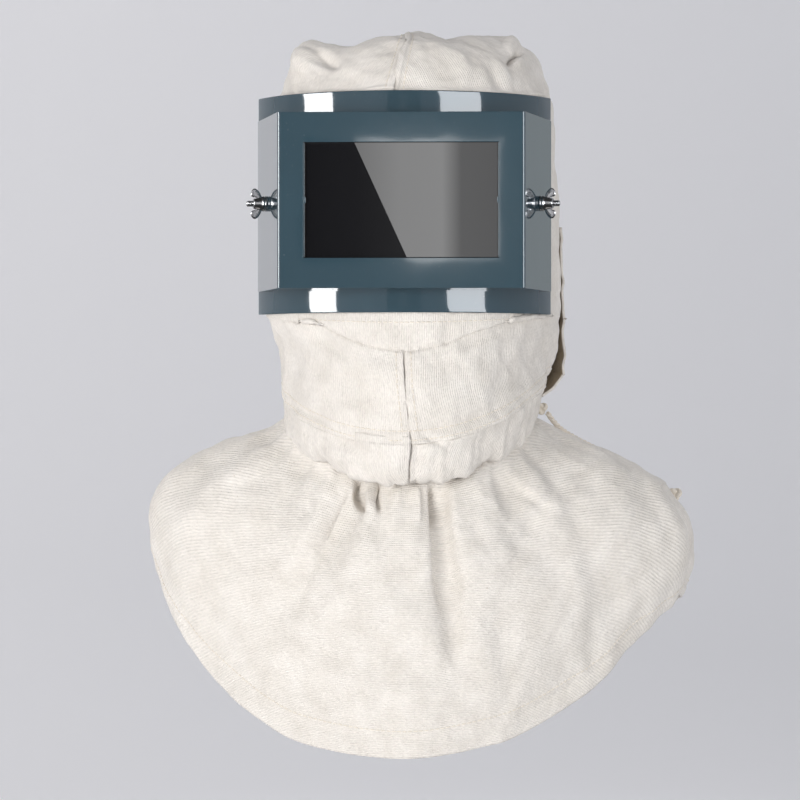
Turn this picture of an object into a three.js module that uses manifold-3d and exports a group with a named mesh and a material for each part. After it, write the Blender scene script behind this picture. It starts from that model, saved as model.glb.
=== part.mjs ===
// A sandblasting hood with its cape: canvas panels, a plastic visor with a dark pane, and a neck tie.
// Millimetres. The front faces -Y, +Z is up, and the origin is where the crown rests on a head.
import * as THREE from 'three';
import { mergeVertices } from 'three/addons/utils/BufferGeometryUtils.js';
import Module from 'manifold-3d';

const wasm = await Module();
wasm.setup();

// Clearances
const gap = 0.3;
const seamGap = 0.4;

// Hood
const clothWall = 2;
const faceRadius = 123;
const crownDrop = 46;
const neckDrop = 120;
const foldDepth = 10;
const viewHalfAngle = 42;
const clothStep = 6;

// Cape
const capeReach = 225;
const capeDrop = 220;
const capeSteps = 12;

// Visor frame
const frameHeight = 170;
const frameWall = 2.5;
const frameHalfAngle = 66;
const seatWidth = 160;
const seatHeight = 100;
const seatWall = 4;

// Window cover
const coverWall = 3;
const coverStandOff = 17;
const coverHeight = 134;
const coverFrontWidth = 188;
const coverEdgeRadius = 2.5;
const windowWidth = 149;
const windowHeight = 88;
const glassThickness = 3;

// Side bolts, washers and wing nuts
const boltRadius = 2.5;
const boltStickOut = 15.5;
const boltHeadRadius = 5;
const boltHeadHeight = 2.5;
const boltAlong = 0.57;
const boltHoleClearance = 0.3;
const washerRadius = 6;
const washerThickness = 1.2;
const nutHeight = 8.5;
const nutRadius = 5;
const wingSpan = 24;
const wingReach = 12.5;
const wingThickness = 2;
const tabWidth = 22;
const tabHeight = 26;
const tabWall = 3;

// Back flap and neck tie
const flapBulge = 14;
const cordRadius = 2.2;
const knotRadius = 5.5;
const endKnotRadius = 6.5;

// Sizes that follow from the ones above
const frameInner = faceRadius + gap + seamGap / 2;
const frameOuter = frameInner + frameWall;
const frameTop = -crownDrop;
const frameFoot = frameTop - frameHeight;
const visorMiddle = frameTop - frameHeight / 2;
const coverFront = -(frameOuter + coverStandOff);
const glassFront = coverFront + coverWall + gap;
const seatFront = glassFront + glassThickness + gap;

const canvas = new THREE.MeshStandardMaterial({ color: 0xe4ddd0, roughness: 0.95, metalness: 0 });
const plastic = new THREE.MeshStandardMaterial({ color: 0x41575f, roughness: 0.18, metalness: 0 });
const darkGlass = new THREE.MeshStandardMaterial({ color: 0x1c1c1c, roughness: 0.05, metalness: 0 });
const steel = new THREE.MeshStandardMaterial({ color: 0xb9bcc0, roughness: 0.25, metalness: 1 });
const cotton = new THREE.MeshStandardMaterial({ color: 0xdcd3c2, roughness: 0.95, metalness: 0 });

const hood = new THREE.Group();
const radians = THREE.MathUtils.degToRad;

function addPiece(name, geometry, material, parent = hood) {
  const piece = new THREE.Mesh(geometry, material);
  piece.name = name;
  parent.add(piece);
  return piece;
}

// A table whose rows become objects with the named columns
function table(columns, rows) {
  return rows.map((row) => Object.fromEntries(columns.map((column, i) => [column, row[i]])));
}

// Solids for boolean cuts

function toSolid(geometry) {
  const bare = geometry.clone();
  bare.deleteAttribute('normal');
  bare.deleteAttribute('uv');
  const merged = mergeVertices(bare, 1e-4);
  return new wasm.Manifold(new wasm.Mesh({
    numProp: 3,
    vertProperties: new Float32Array(merged.attributes.position.array),
    triVerts: new Uint32Array(merged.index.array),
  }));
}

function toGeometry(solid) {
  const mesh = solid.getMesh();
  const geometry = new THREE.BufferGeometry();
  geometry.setAttribute('position', new THREE.BufferAttribute(mesh.vertProperties, 3));
  geometry.setIndex(new THREE.BufferAttribute(mesh.triVerts, 1));
  geometry.computeVertexNormals();
  return geometry;
}

function boxSolid(width, depth, height, x, y, z) {
  return toSolid(new THREE.BoxGeometry(width, depth, height).translate(x, y, z));
}

function cylinderSolid(radius, height, sides) {
  return toSolid(new THREE.CylinderGeometry(radius, radius, height, sides).rotateX(Math.PI / 2));
}

function prismSolid(corners, bottom, height) {
  const outline = new THREE.Shape(corners.map(([x, y]) => new THREE.Vector2(x, y)));
  const prism = new THREE.ExtrudeGeometry(outline, { depth: height, bevelEnabled: false });
  return toSolid(prism.translate(0, 0, bottom));
}

// Smooth curves through the rows of a table, with no overshoot between two rows

function slopeAt(places, values, i) {
  if (i === 0 || i === places.length - 1) {
    const from = i === 0 ? 0 : i - 1;
    return (values[from + 1] - values[from]) / (places[from + 1] - places[from]);
  }
  const before = (values[i] - values[i - 1]) / (places[i] - places[i - 1]);
  const after = (values[i + 1] - values[i]) / (places[i + 1] - places[i]);
  return before * after <= 0 ? 0 : (2 * before * after) / (before + after);
}

function curveAt(places, values, place) {
  let i = 0;
  while (i < places.length - 2 && place > places[i + 1]) i += 1;
  const span = places[i + 1] - places[i];
  const t = Math.min(1, Math.max(0, (place - places[i]) / span));
  const start = slopeAt(places, values, i) * span;
  const end = slopeAt(places, values, i + 1) * span;
  return values[i] * (2 * t ** 3 - 3 * t ** 2 + 1) + start * (t ** 3 - 2 * t ** 2 + t)
    + values[i + 1] * (3 * t ** 2 - 2 * t ** 3) + end * (t ** 3 - t ** 2);
}

// The same round a closed ring: angles in degrees from -180 to 180, the last row repeating the first
function ringCurveAt(angles, values, angle) {
  const turn = 360;
  const before = angles.slice(0, -1).map((place) => place - turn);
  const after = angles.slice(1).map((place) => place + turn);
  const places = [...before, ...angles, ...after];
  const looped = [...values.slice(0, -1), ...values, ...values.slice(1)];
  return curveAt(places, looped, angle);
}

function bellCurve(offset, width) {
  return Math.exp(-((offset / width) ** 2));
}

// Hood sections from the crown down to the neck seam. Each row names the stretch of the hood that it
// lies in and how far down that stretch it is. Sag lowers the front by a share of the neck drop, over
// the angle in sagReach, and tilt lifts the right side. Twist turns the centre seam, in degrees. The
// six radii are shares of the face radius.
const hoodSections = table([
  'part', 'down', 'sag', 'sagReach', 'tilt', 'twist',
  'front', 'rightCheek', 'right', 'back', 'left', 'leftCheek',
], [
  ['crown', 0.00, 0.00, 90, 0.00, 0.0, 0.000, 0.000, 0.000, 0.000, 0.000, 0.000],
  ['crown', 0.00, 0.00, 90, 0.00, 2.0, 0.330, 0.330, 0.330, 0.330, 0.330, 0.330],
  ['crown', 0.03, 0.00, 90, 0.00, 2.0, 0.600, 0.640, 0.660, 0.660, 0.610, 0.630],
  ['crown', 0.12, 0.00, 90, 0.00, 1.5, 0.740, 0.770, 0.775, 0.780, 0.695, 0.735],
  ['crown', 0.32, 0.00, 90, 0.00, 0.0, 0.850, 0.860, 0.855, 0.870, 0.740, 0.795],
  ['crown', 0.65, 0.00, 90, 0.00, -1.5, 0.940, 0.935, 0.900, 0.925, 0.765, 0.840],
  ['crown', 0.90, 0.00, 90, 0.00, -2.5, 0.985, 0.975, 0.925, 0.945, 0.780, 0.875],
  ['frame', 0.00, 0.00, 90, 0.00, -2.8, 1.000, 1.000, 0.940, 0.950, 0.800, 0.950],
  ['frame', 0.14, 0.00, 90, 0.00, 0.0, 1.000, 1.000, 0.965, 0.965, 0.835, 1.000],
  ['frame', 0.50, 0.00, 90, 0.00, 0.0, 1.000, 1.000, 0.990, 0.975, 0.865, 1.000],
  ['frame', 0.86, 0.00, 90, 0.00, 0.0, 1.000, 1.000, 1.000, 0.970, 0.865, 1.000],
  ['frame', 1.00, 0.00, 90, 0.00, 0.5, 0.995, 0.995, 0.995, 0.960, 0.855, 0.990],
  ['neck', 0.03, 0.21, 52, 0.00, 0.5, 0.990, 0.980, 0.990, 0.955, 0.845, 0.960],
  ['neck', 0.22, 0.24, 70, 0.00, 1.0, 1.010, 0.970, 0.975, 0.935, 0.815, 0.900],
  ['neck', 0.41, 0.43, 100, 0.05, 3.2, 1.025, 0.965, 0.915, 0.890, 0.785, 0.885],
  ['neck', 0.57, 0.43, 95, 0.03, 2.5, 0.995, 0.930, 0.865, 0.860, 0.780, 0.880],
  ['neck', 0.68, 0.42, 95, 0.01, 2.5, 0.935, 0.885, 0.830, 0.830, 0.765, 0.860],
  ['neck', 0.70, 0.40, 95, 0.00, 2.5, 0.860, 0.815, 0.775, 0.785, 0.715, 0.805],
  ['neck', 0.70, 0.39, 95, 0.00, 2.5, 0.790, 0.750, 0.720, 0.735, 0.665, 0.745],
]);
const row = { pole: 0, viewTop: 8, viewFoot: 10, frameFoot: 11, chinSeam: 12, casingSeam: 14, neckSeam: 18 };

const stretches = {
  crown: { top: clothWall, length: crownDrop + clothWall },
  frame: { top: frameTop, length: frameHeight },
  neck: { top: frameFoot, length: neckDrop },
};
const sectionPlaces = hoodSections.map((section, i) => i);
const sectionHeights = hoodSections.map(({ part, down }) => {
  const { top, length } = stretches[part];
  return top - down * length;
});

function hoodColumn(name, v) {
  return curveAt(sectionPlaces, hoodSections.map((section) => section[name]), v);
}

// Dents and ridges over the top of the crown, at places and widths that are shares of the face radius.
// Each runs from front to back, turned by the degrees in turn, and rises by a share of the fold depth.
const crownFolds = table(['x', 'y', 'long', 'wide', 'turn', 'rise'], [
  [-0.62, -0.30, 0.45, 0.10, 6, 0.35],
  [-0.31, -0.30, 0.60, 0.19, -4, -0.85],
  [0.08, -0.20, 0.75, 0.10, 3, 0.45],
  [0.26, -0.40, 0.45, 0.08, 8, -0.30],
  [0.58, -0.10, 0.60, 0.20, -5, 0.40],
  [0.64, -0.62, 0.20, 0.07, 38, -0.50],
  [-0.50, -0.72, 0.22, 0.07, -50, -0.40],
  [0.00, 0.55, 0.18, 0.55, 0, -0.30],
]);

function crownRise(x, y) {
  return crownFolds.reduce((sum, fold) => {
    const across = x / faceRadius - fold.x;
    const along = y / faceRadius - fold.y;
    const cos = Math.cos(radians(fold.turn));
    const sin = Math.sin(radians(fold.turn));
    const acrossBell = bellCurve(across * cos + along * sin, fold.wide);
    const alongBell = bellCurve(along * cos - across * sin, fold.long);
    return sum + fold.rise * foldDepth * acrossBell * alongBell;
  }, 0);
}

// Folds in the sides, back and neck: angle round the hood and section number v of the middle, with
// half-widths of each, and a rise that is a share of the fold depth.
const hoodFolds = table(['angle', 'v', 'angleWidth', 'vWidth', 'rise'], [
  [-112, 12.5, 9, 1.6, -0.70],
  [-150, 13.5, 10, 1.8, -0.60],
  [165, 11.0, 12, 2.4, -0.70],
  [-172, 14.5, 8, 1.2, 0.50],
  [-52, 13.2, 14, 0.5, -0.30],
  [58, 13.3, 16, 0.5, -0.40],
  [-34, 15.0, 12, 0.6, 0.25],
  [30, 14.6, 18, 0.5, -0.30],
]);

function hoodFoldRise(angle, v) {
  return hoodFolds.reduce((sum, fold) => {
    const round = bellCurve(angle - fold.angle, fold.angleWidth);
    return sum + fold.rise * foldDepth * round * bellCurve(v - fold.v, fold.vWidth);
  }, 0);
}

// A point of the hood's outer face. The angle is 0 at the front and 90 on the right.
function hoodPoint(angle, v) {
  const names = ['back', 'left', 'leftCheek', 'front', 'rightCheek', 'right', 'back'];
  const radii = names.map((name) => hoodColumn(name, v));
  const share = ringCurveAt([-180, -90, -60, 0, 60, 90, 180], radii, angle);
  const radius = share === 0 ? 0 : share * faceRadius + hoodFoldRise(angle, v);
  const turned = radians(angle + hoodColumn('twist', v) * Math.cos(radians(angle / 2)) ** 2);
  const reach = hoodColumn('sagReach', v);
  const sag = Math.abs(angle) < reach ? Math.cos(radians((angle * 90) / reach)) ** 2 : 0;
  const lift = hoodColumn('tilt', v) * Math.sin(radians(angle)) - hoodColumn('sag', v) * sag;
  const x = radius * Math.sin(turned);
  const y = -radius * Math.cos(turned);
  const fade = v < row.viewTop - 1 ? 1 - v / (row.viewTop - 1) : 0;
  const z = curveAt(sectionPlaces, sectionHeights, v) + lift * neckDrop + crownRise(x, y) * Math.sqrt(fade);
  return new THREE.Vector3(x, y, z);
}

// A sheet of cloth on a grid of angles and rows, thickened inwards by its wall. Cells that keep()
// turns down are left out, and every open edge is closed by a rim.
function clothPanel(pointAt, angles, rows, wall, options = {}) {
  const { keep = () => true, closed = false, shift = 0, pole = false } = options;
  const positions = [];
  const outer = [];
  const inner = [];
  const small = 0.02;
  const normalAt = (angle, v) => {
    if (pole && v === rows[0]) return new THREE.Vector3(0, 0, 1);
    const along = pointAt(angle + 1, v).sub(pointAt(angle - 1, v));
    const from = Math.max(rows[0], v - small);
    const to = Math.min(rows[rows.length - 1], v + small);
    const down = pointAt(angle, to).sub(pointAt(angle, from));
    return down.cross(along).normalize();
  };
  const addVertex = (point) => positions.push(point.x + shift, point.y, point.z) / 3 - 1;
  rows.forEach((v, i) => {
    outer.push([]);
    inner.push([]);
    angles.forEach((angle, j) => {
      const shared = pole && i === 0 && j > 0;
      const point = pointAt(angle, v);
      outer[i].push(shared ? outer[i][0] : addVertex(point));
      inner[i].push(shared ? inner[i][0] : addVertex(point.addScaledVector(normalAt(angle, v), -wall)));
    });
  });
  const columns = closed ? angles.length : angles.length - 1;
  const next = (j) => (j + 1) % angles.length;
  const kept = (i, j) => {
    if (i < 0 || i >= rows.length - 1) return false;
    if (!closed && (j < 0 || j >= columns)) return false;
    return keep(i, (j + columns) % columns);
  };
  const faces = [];
  const addFace = (a, b, c) => {
    if (a !== b && b !== c && a !== c) faces.push(a, b, c);
  };
  const addQuad = (a, b, c, d) => {
    addFace(a, b, c);
    addFace(a, c, d);
  };
  for (let i = 0; i < rows.length - 1; i += 1) {
    for (let j = 0; j < columns; j += 1) {
      if (kept(i, j)) {
        const k = next(j);
        addQuad(outer[i][j], outer[i + 1][j], outer[i + 1][k], outer[i][k]);
        addQuad(inner[i][j], inner[i][k], inner[i + 1][k], inner[i + 1][j]);
        const topRim = !kept(i - 1, j) && !(pole && i === 0);
        if (topRim) addQuad(outer[i][k], inner[i][k], inner[i][j], outer[i][j]);
        if (!kept(i + 1, j)) addQuad(outer[i + 1][j], inner[i + 1][j], inner[i + 1][k], outer[i + 1][k]);
        if (!kept(i, j - 1)) addQuad(outer[i][j], inner[i][j], inner[i + 1][j], outer[i + 1][j]);
        if (!kept(i, j + 1)) addQuad(outer[i + 1][k], inner[i + 1][k], inner[i][k], outer[i][k]);
      }
    }
  }
  const geometry = new THREE.BufferGeometry();
  geometry.setAttribute('position', new THREE.Float32BufferAttribute(positions, 3));
  geometry.setIndex(faces);
  const solid = toSolid(geometry);
  return toGeometry(solid);
}

function steps(from, to, count) {
  return Array.from({ length: count + 1 }, (item, i) => from + ((to - from) * i) / count);
}

// Hood panels: each half runs from the centre seam round to the back seam

function spacedAngles(from, to) {
  return steps(from, to, Math.max(1, Math.round((to - from) / clothStep)));
}

// A small step down the sections, as a share of the distance to the next one, that leaves a seam gap
function seamStep(index) {
  return seamGap / Math.abs(sectionHeights[index + 1] - sectionHeights[index]);
}

const halfAngles = [...spacedAngles(0, viewHalfAngle), ...spacedAngles(viewHalfAngle, 180).slice(1)];
const crownRows = steps(row.pole, row.viewTop, 10);
const sideRows = [9, row.viewFoot, row.frameFoot, row.chinSeam, 13, row.casingSeam];
const hoodRows = [...crownRows, ...sideRows];
const chinAngle = viewHalfAngle - THREE.MathUtils.radToDeg(seamGap / faceRadius);

function keepHoodCell(angles) {
  return (i, j) => {
    const besideView = Math.abs(angles[j] + angles[j + 1]) / 2 > viewHalfAngle;
    return besideView || hoodRows[i] < row.viewTop || hoodRows[i] >= row.chinSeam;
  };
}

function makeHoodHalf(side) {
  const angles = side < 0 ? halfAngles.map((angle) => -angle).reverse() : halfAngles;
  const name = side < 0 ? 'left' : 'right';
  const shift = (side * seamGap) / 2;
  const upper = { keep: keepHoodCell(angles), shift, pole: true };
  addPiece(`hood_${name}`, clothPanel(hoodPoint, angles, hoodRows, clothWall, upper), canvas);
  const casingRows = steps(row.casingSeam + seamStep(row.casingSeam), row.neckSeam, 6);
  addPiece(`casing_${name}`, clothPanel(hoodPoint, angles, casingRows, clothWall, { shift }), canvas);
}

function makeChinGusset() {
  const rows = [row.viewFoot, row.frameFoot, row.chinSeam - seamStep(row.frameFoot)];
  const angles = spacedAngles(-chinAngle, chinAngle);
  addPiece('chin_gusset', clothPanel(hoodPoint, angles, rows, clothWall), canvas);
}

// Cape: a sheet between the neck seam and the hem, drawn over the shoulders by a third curve between
// them. Radii are shares of the cape's reach, drops are shares of the cape's drop below the front of the
// neck seam.
const capeOutline = table(['angle', 'shoulder', 'shoulderDrop', 'hem', 'hemDrop'], [
  [-180, 0.62, 0.20, 0.64, 0.95],
  [-135, 0.74, 0.08, 0.80, 0.70],
  [-105, 0.95, -0.03, 0.89, 0.41],
  [-90, 1.03, -0.055, 0.90, 0.33],
  [-75, 0.93, 0.00, 0.84, 0.56],
  [-60, 0.77, 0.09, 0.73, 0.77],
  [-30, 0.64, 0.24, 0.63, 0.96],
  [0, 0.61, 0.30, 0.61, 1.00],
  [30, 0.65, 0.23, 0.635, 0.955],
  [60, 0.83, 0.10, 0.735, 0.79],
  [75, 1.05, 0.04, 0.84, 0.61],
  [90, 1.24, 0.035, 0.98, 0.48],
  [105, 1.17, 0.03, 1.01, 0.50],
  [135, 0.80, 0.10, 0.85, 0.74],
  [180, 0.62, 0.20, 0.64, 0.95],
]);
const capeAngles = capeOutline.map(({ angle }) => angle);
const neckFront = frameFoot - neckDrop;

function capeColumn(name, angle) {
  return ringCurveAt(capeAngles, capeOutline.map((place) => place[name]), angle);
}

// Gathers and waves: the angle of each groove at the neck, how far it leans round by the hem, its
// half-width, where it starts and ends between neck and hem, and its depth as a share of the fold depth.
const capeFolds = table(['angle', 'lean', 'width', 'from', 'to', 'rise'], [
  [-17, -20, 4.0, 0.02, 0.75, -0.60],
  [-9, -5, 3.0, 0.02, 0.35, -0.40],
  [6, 2, 3.0, 0.02, 0.45, -0.35],
  [13, 6, 3.5, 0.02, 0.85, -0.65],
  [40, 14, 6.0, 0.05, 0.80, -0.50],
  [62, 4, 5.0, 0.02, 0.50, -0.35],
  [-48, -8, 7.0, 0.05, 0.70, -0.35],
  [-75, -2, 6.0, 0.02, 0.45, -0.25],
  [88, 4, 4.5, 0.45, 1.35, -1.10],
  [118, 4, 8.0, 0.05, 1.30, -0.60],
  [146, 6, 7.0, 0.05, 1.30, -0.80],
  [172, 2, 7.0, 0.05, 1.30, -0.70],
  [-160, -4, 7.0, 0.05, 1.30, -0.80],
  [-130, -6, 8.0, 0.05, 1.30, -0.70],
  [-104, -2, 6.0, 0.05, 1.20, -0.50],
]);

function turnBetween(angle, other) {
  return ((angle - other + 540) % 360) - 180;
}

function capeFoldRise(angle, t) {
  return capeFolds.reduce((sum, fold) => {
    const share = (t - fold.from) / (fold.to - fold.from);
    const fade = share > 0 && share < 1 ? Math.sin(Math.PI * Math.sqrt(share)) : 0;
    const aside = turnBetween(angle, fold.angle + fold.lean * t);
    return sum + fold.rise * foldDepth * fade * bellCurve(aside, fold.width);
  }, 0);
}

function capeSheetPoint(angle, t) {
  const neck = hoodPoint(angle, row.neckSeam);
  neck.z -= 2 * gap;
  const turned = radians(angle);
  const ringPoint = (reach, drop) => new THREE.Vector3(
    capeReach * reach * Math.sin(turned),
    -capeReach * reach * Math.cos(turned),
    neckFront - capeDrop * drop,
  );
  const shoulder = ringPoint(capeColumn('shoulder', angle), capeColumn('shoulderDrop', angle));
  const hem = ringPoint(capeColumn('hem', angle), capeColumn('hemDrop', angle));
  return new THREE.QuadraticBezierCurve3(neck, shoulder, hem).getPoint(t);
}

// A point of the cape's outer face: t is 0 at the neck seam and 1 at the hem
function capePoint(angle, t) {
  const step = 0.01;
  const point = capeSheetPoint(angle, t);
  const down = capeSheetPoint(angle, t + step).sub(point);
  const along = capeSheetPoint(angle + 1, t).sub(point);
  return point.addScaledVector(down.cross(along).normalize(), capeFoldRise(angle, t));
}

function makeCape() {
  const rows = steps(0, 1, capeSteps);
  const angles = steps(-180, 180, Math.round(360 / clothStep)).slice(0, -1);
  addPiece('cape', clothPanel(capePoint, angles, rows, clothWall, { closed: true }), canvas);
}

// Back flap: the free edge of the canvas that laps over the right-hand back and stands off above its
// tie. Each row gives the section number and how far the free edge stands off, as a share of the bulge.
const flapEdge = table(['v', 'stand'], [
  [9.20, 0.08],
  [10.60, 0.12],
  [12.20, 0.22],
  [13.20, 0.55],
  [13.80, 1.00],
  [14.40, 0.72],
  [14.95, 0.10],
]);
const flapFrom = 96;
const flapTo = 132;
const tiePlace = { angle: 99, v: 15.4 };

function flapPoint(angle, v) {
  const small = 0.05;
  const point = hoodPoint(angle, v);
  const along = hoodPoint(angle + small, v).sub(point);
  const out = hoodPoint(angle, v + small).sub(point).cross(along).normalize();
  const lift = Math.max(0, (flapTo - angle) / (flapTo - flapFrom)) ** 1.5;
  const stand = curveAt(flapEdge.map((edge) => edge.v), flapEdge.map((edge) => edge.stand), v);
  return point.addScaledVector(out, seamGap + gap + clothWall + flapBulge * stand * lift);
}

function makeBackFlap() {
  const first = flapEdge[0].v;
  const last = flapEdge[flapEdge.length - 1].v;
  const rows = steps(first, last, 10);
  addPiece('back_flap', clothPanel(flapPoint, spacedAngles(flapFrom, flapTo), rows, clothWall), canvas);
}

// Visor frame: a curved band with a view opening, a flat seat for the glass and two tabs for the bolts

function arcPoint(radius, angle) {
  return [radius * Math.sin(radians(angle)), -radius * Math.cos(radians(angle))];
}

const arcSides = 2 * Math.round(frameHalfAngle / clothStep);
const boreSides = 24;

// The side wall of the cover, in plan: it runs from a front corner to the end of the frame
const coverLip = 1.2;
const coverInset = 1;
const coverCorner = {
  front: [coverFrontWidth / 2, coverFront],
  rear: arcPoint(frameOuter + coverLip, frameHalfAngle - coverInset),
};
const wallRun = [coverCorner.rear[0] - coverCorner.front[0], coverCorner.rear[1] - coverCorner.front[1]];
const wallLength = Math.hypot(...wallRun);
const boltPlace = [
  coverCorner.front[0] + boltAlong * wallRun[0],
  coverCorner.front[1] + boltAlong * wallRun[1],
];
const boltTurn = Math.atan2(wallRun[1], wallRun[0]) - Math.PI / 2;

// A frame whose +Z points out of the side wall at the bolt, and whose +X runs forwards along the wall
function sideFrame(side) {
  const out = new THREE.Vector3(side * Math.cos(boltTurn), Math.sin(boltTurn), 0);
  const up = new THREE.Vector3(0, 0, 1);
  const forwards = new THREE.Vector3().crossVectors(up, out);
  const matrix = new THREE.Matrix4().makeBasis(forwards, up, out);
  return matrix.setPosition(side * boltPlace[0], boltPlace[1], visorMiddle);
}

function boltHole(side) {
  const reach = 4 * (coverWall + tabWall);
  const bore = boltRadius + boltHoleClearance;
  const hole = new THREE.CylinderGeometry(bore, bore, reach, boreSides);
  return toSolid(hole.rotateX(Math.PI / 2).applyMatrix4(sideFrame(side)));
}

function makeVisorFrame() {
  const angles = steps(-frameHalfAngle, frameHalfAngle, arcSides);
  const outerArc = angles.map((angle) => arcPoint(frameOuter, angle));
  const innerArc = angles.map((angle) => arcPoint(frameInner, angle)).reverse();
  let solid = prismSolid([...outerArc, ...innerArc], frameFoot, frameHeight);
  const seatDepth = frameOuter;
  const seatBack = seatFront + seatDepth / 2;
  const inside = cylinderSolid(frameInner, 2 * frameHeight, 2 * Math.round(180 / clothStep))
    .translate([0, 0, visorMiddle]);
  const seat = boxSolid(seatWidth, seatDepth, seatHeight, 0, seatBack, visorMiddle).subtract(inside);
  const tabRun = (1 - boltAlong) * wallLength;
  [-1, 1].forEach((side) => {
    const tab = new THREE.BoxGeometry(tabRun + tabWidth / 2, tabHeight, tabWall);
    tab.translate((side * (tabRun - tabWidth / 2)) / 2, 0, -coverWall - gap - tabWall / 2);
    solid = solid.add(toSolid(tab.applyMatrix4(sideFrame(side))).subtract(inside));
  });
  const viewWidth = seatWidth - 2 * seatWall;
  const viewHeight = seatHeight - 2 * seatWall;
  const view = boxSolid(viewWidth, 2 * frameOuter, viewHeight, 0, -frameOuter, visorMiddle);
  solid = solid.add(seat).subtract(view).subtract(boltHole(-1)).subtract(boltHole(1));
  addPiece('visor_frame', toGeometry(solid), plastic);
}

// A corner of an outline replaced by a small arc, as a few points
function roundCorner(before, corner, after, radius) {
  const point = new THREE.Vector2(...corner);
  const one = new THREE.Vector2(...before).sub(point).normalize();
  const two = new THREE.Vector2(...after).sub(point).normalize();
  const half = one.angleTo(two) / 2;
  const centre = one.clone().add(two).normalize().multiplyScalar(radius / Math.sin(half)).add(point);
  const touch = radius / Math.tan(half);
  const start = one.multiplyScalar(touch).add(point).sub(centre);
  const end = two.multiplyScalar(touch).add(point).sub(centre);
  return steps(0, 1, 4).map((t) => {
    const spoke = start.clone().lerp(end, t).normalize().multiplyScalar(radius).add(centre);
    return [spoke.x, spoke.y];
  });
}

function makeWindowCover() {
  const mirrored = ([x, y]) => [-x, y];
  const { front, rear } = coverCorner;
  const outline = [
    rear,
    mirrored(rear),
    ...roundCorner(mirrored(rear), mirrored(front), front, coverEdgeRadius),
    ...roundCorner(mirrored(front), front, rear, coverEdgeRadius),
  ];
  const bottom = visorMiddle - coverHeight / 2;
  const band = cylinderSolid(frameOuter + gap, 2 * coverHeight, 2 * Math.round(180 / clothStep));
  const slope = wallRun[0] / wallRun[1];
  const wallShift = coverWall / Math.cos(Math.atan(slope)) - coverWall * slope;
  const innerFront = [front[0] - wallShift, coverFront + coverWall];
  const innerRear = [innerFront[0] + slope * frameOuter, innerFront[1] + frameOuter];
  const hollow = prismSolid(
    [innerRear, mirrored(innerRear), mirrored(innerFront), innerFront],
    bottom + coverWall,
    coverHeight - 2 * coverWall,
  );
  const window = boxSolid(windowWidth, 4 * coverWall, windowHeight, 0, coverFront, visorMiddle);
  const solid = prismSolid(outline, bottom, coverHeight)
    .subtract(band.translate([0, 0, visorMiddle]))
    .subtract(hollow)
    .subtract(window)
    .subtract(boltHole(-1))
    .subtract(boltHole(1));
  addPiece('window_cover', toGeometry(solid), plastic);
}

function makeWindowGlass() {
  const glass = new THREE.BoxGeometry(seatWidth, glassThickness, seatHeight);
  const piece = addPiece('window_glass', glass, darkGlass);
  piece.position.set(0, glassFront + glassThickness / 2, visorMiddle);
}

// Fasteners on the two side walls. Lathe profiles are turned so that their axis lies along +Z.

function turned(profile, sides) {
  const points = profile.map(([radius, height]) => new THREE.Vector2(radius, height));
  return new THREE.LatheGeometry(points, sides).rotateX(Math.PI / 2);
}

function makeWingNut() {
  const bore = boltRadius + boltHoleClearance;
  const top = nutHeight;
  const flange = { radius: nutRadius + 1, height: 1.6 };
  const neck = nutRadius * 0.8;
  const hub = turned([
    [bore, 0], [flange.radius, 0], [flange.radius, flange.height], [nutRadius, flange.height],
    [neck, top], [bore, top], [bore, 0],
  ], 16);
  let solid = toSolid(hub);
  const tip = wingSpan / 2;
  const wing = new THREE.Shape();
  wing.moveTo(bore + 0.4, flange.height);
  wing.lineTo(nutRadius * 1.2, flange.height + 0.2);
  wing.quadraticCurveTo(tip * 0.85, wingReach * 0.35, tip, wingReach * 0.78);
  wing.quadraticCurveTo(tip * 0.98, wingReach * 1.05, tip * 0.74, wingReach);
  wing.quadraticCurveTo(tip * 0.62, wingReach * 0.62, bore + 0.4, top * 0.82);
  wing.closePath();
  const cut = { depth: wingThickness, bevelEnabled: false, curveSegments: 4 };
  const plate = new THREE.ExtrudeGeometry(wing, cut);
  plate.translate(0, 0, -wingThickness / 2).rotateX(Math.PI / 2);
  [Math.PI / 2, -Math.PI / 2].forEach((angle) => {
    solid = solid.add(toSolid(plate.clone().rotateZ(angle)));
  });
  return toGeometry(solid);
}

function makeFasteners(side) {
  const name = side < 0 ? 'left' : 'right';
  const holder = new THREE.Group();
  holder.applyMatrix4(sideFrame(side));
  hood.add(holder);
  const under = -(coverWall + gap + tabWall + gap);
  const chamfer = 0.6;
  const bolt = turned([
    [0, under - boltHeadHeight], [boltHeadRadius * 0.7, under - boltHeadHeight], [boltHeadRadius, under],
    [boltRadius, under], [boltRadius, boltStickOut - chamfer], [boltRadius - chamfer, boltStickOut],
    [0, boltStickOut],
  ], 16);
  addPiece(`side_bolt_${name}`, bolt, steel, holder);
  const bore = boltRadius + boltHoleClearance;
  const washer = turned([
    [bore, 0], [washerRadius, 0], [washerRadius, washerThickness], [bore, washerThickness], [bore, 0],
  ], 20);
  addPiece(`washer_${name}`, washer, steel, holder).position.z = gap;
  addPiece(`wing_nut_${name}`, makeWingNut(), steel, holder).position.z = 2 * gap + washerThickness;
}

// Neck tie: the knot at the foot of the flap, the free cord over the shoulder, and the knot at its end
const tieRoute = [
  [113.4, 20.3, -293.3],
  [115.6, 21.8, -296.6],
  [118.2, 23.8, -300.0],
  [121.3, 26.5, -303.4],
  [124.9, 29.9, -306.6],
  [129.2, 33.6, -309.6],
  [134.6, 38.4, -312.8],
  [141.1, 42.8, -316.3],
  [148.6, 46.4, -320.1],
  [156.8, 49.4, -324.3],
  [165.2, 52.0, -328.8],
  [173.8, 54.2, -333.9],
  [182.1, 55.7, -339.1],
  [190.2, 56.4, -344.6],
  [197.9, 56.2, -350.0],
  [205.0, 55.2, -354.3],
  [211.4, 53.8, -357.2],
];

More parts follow.
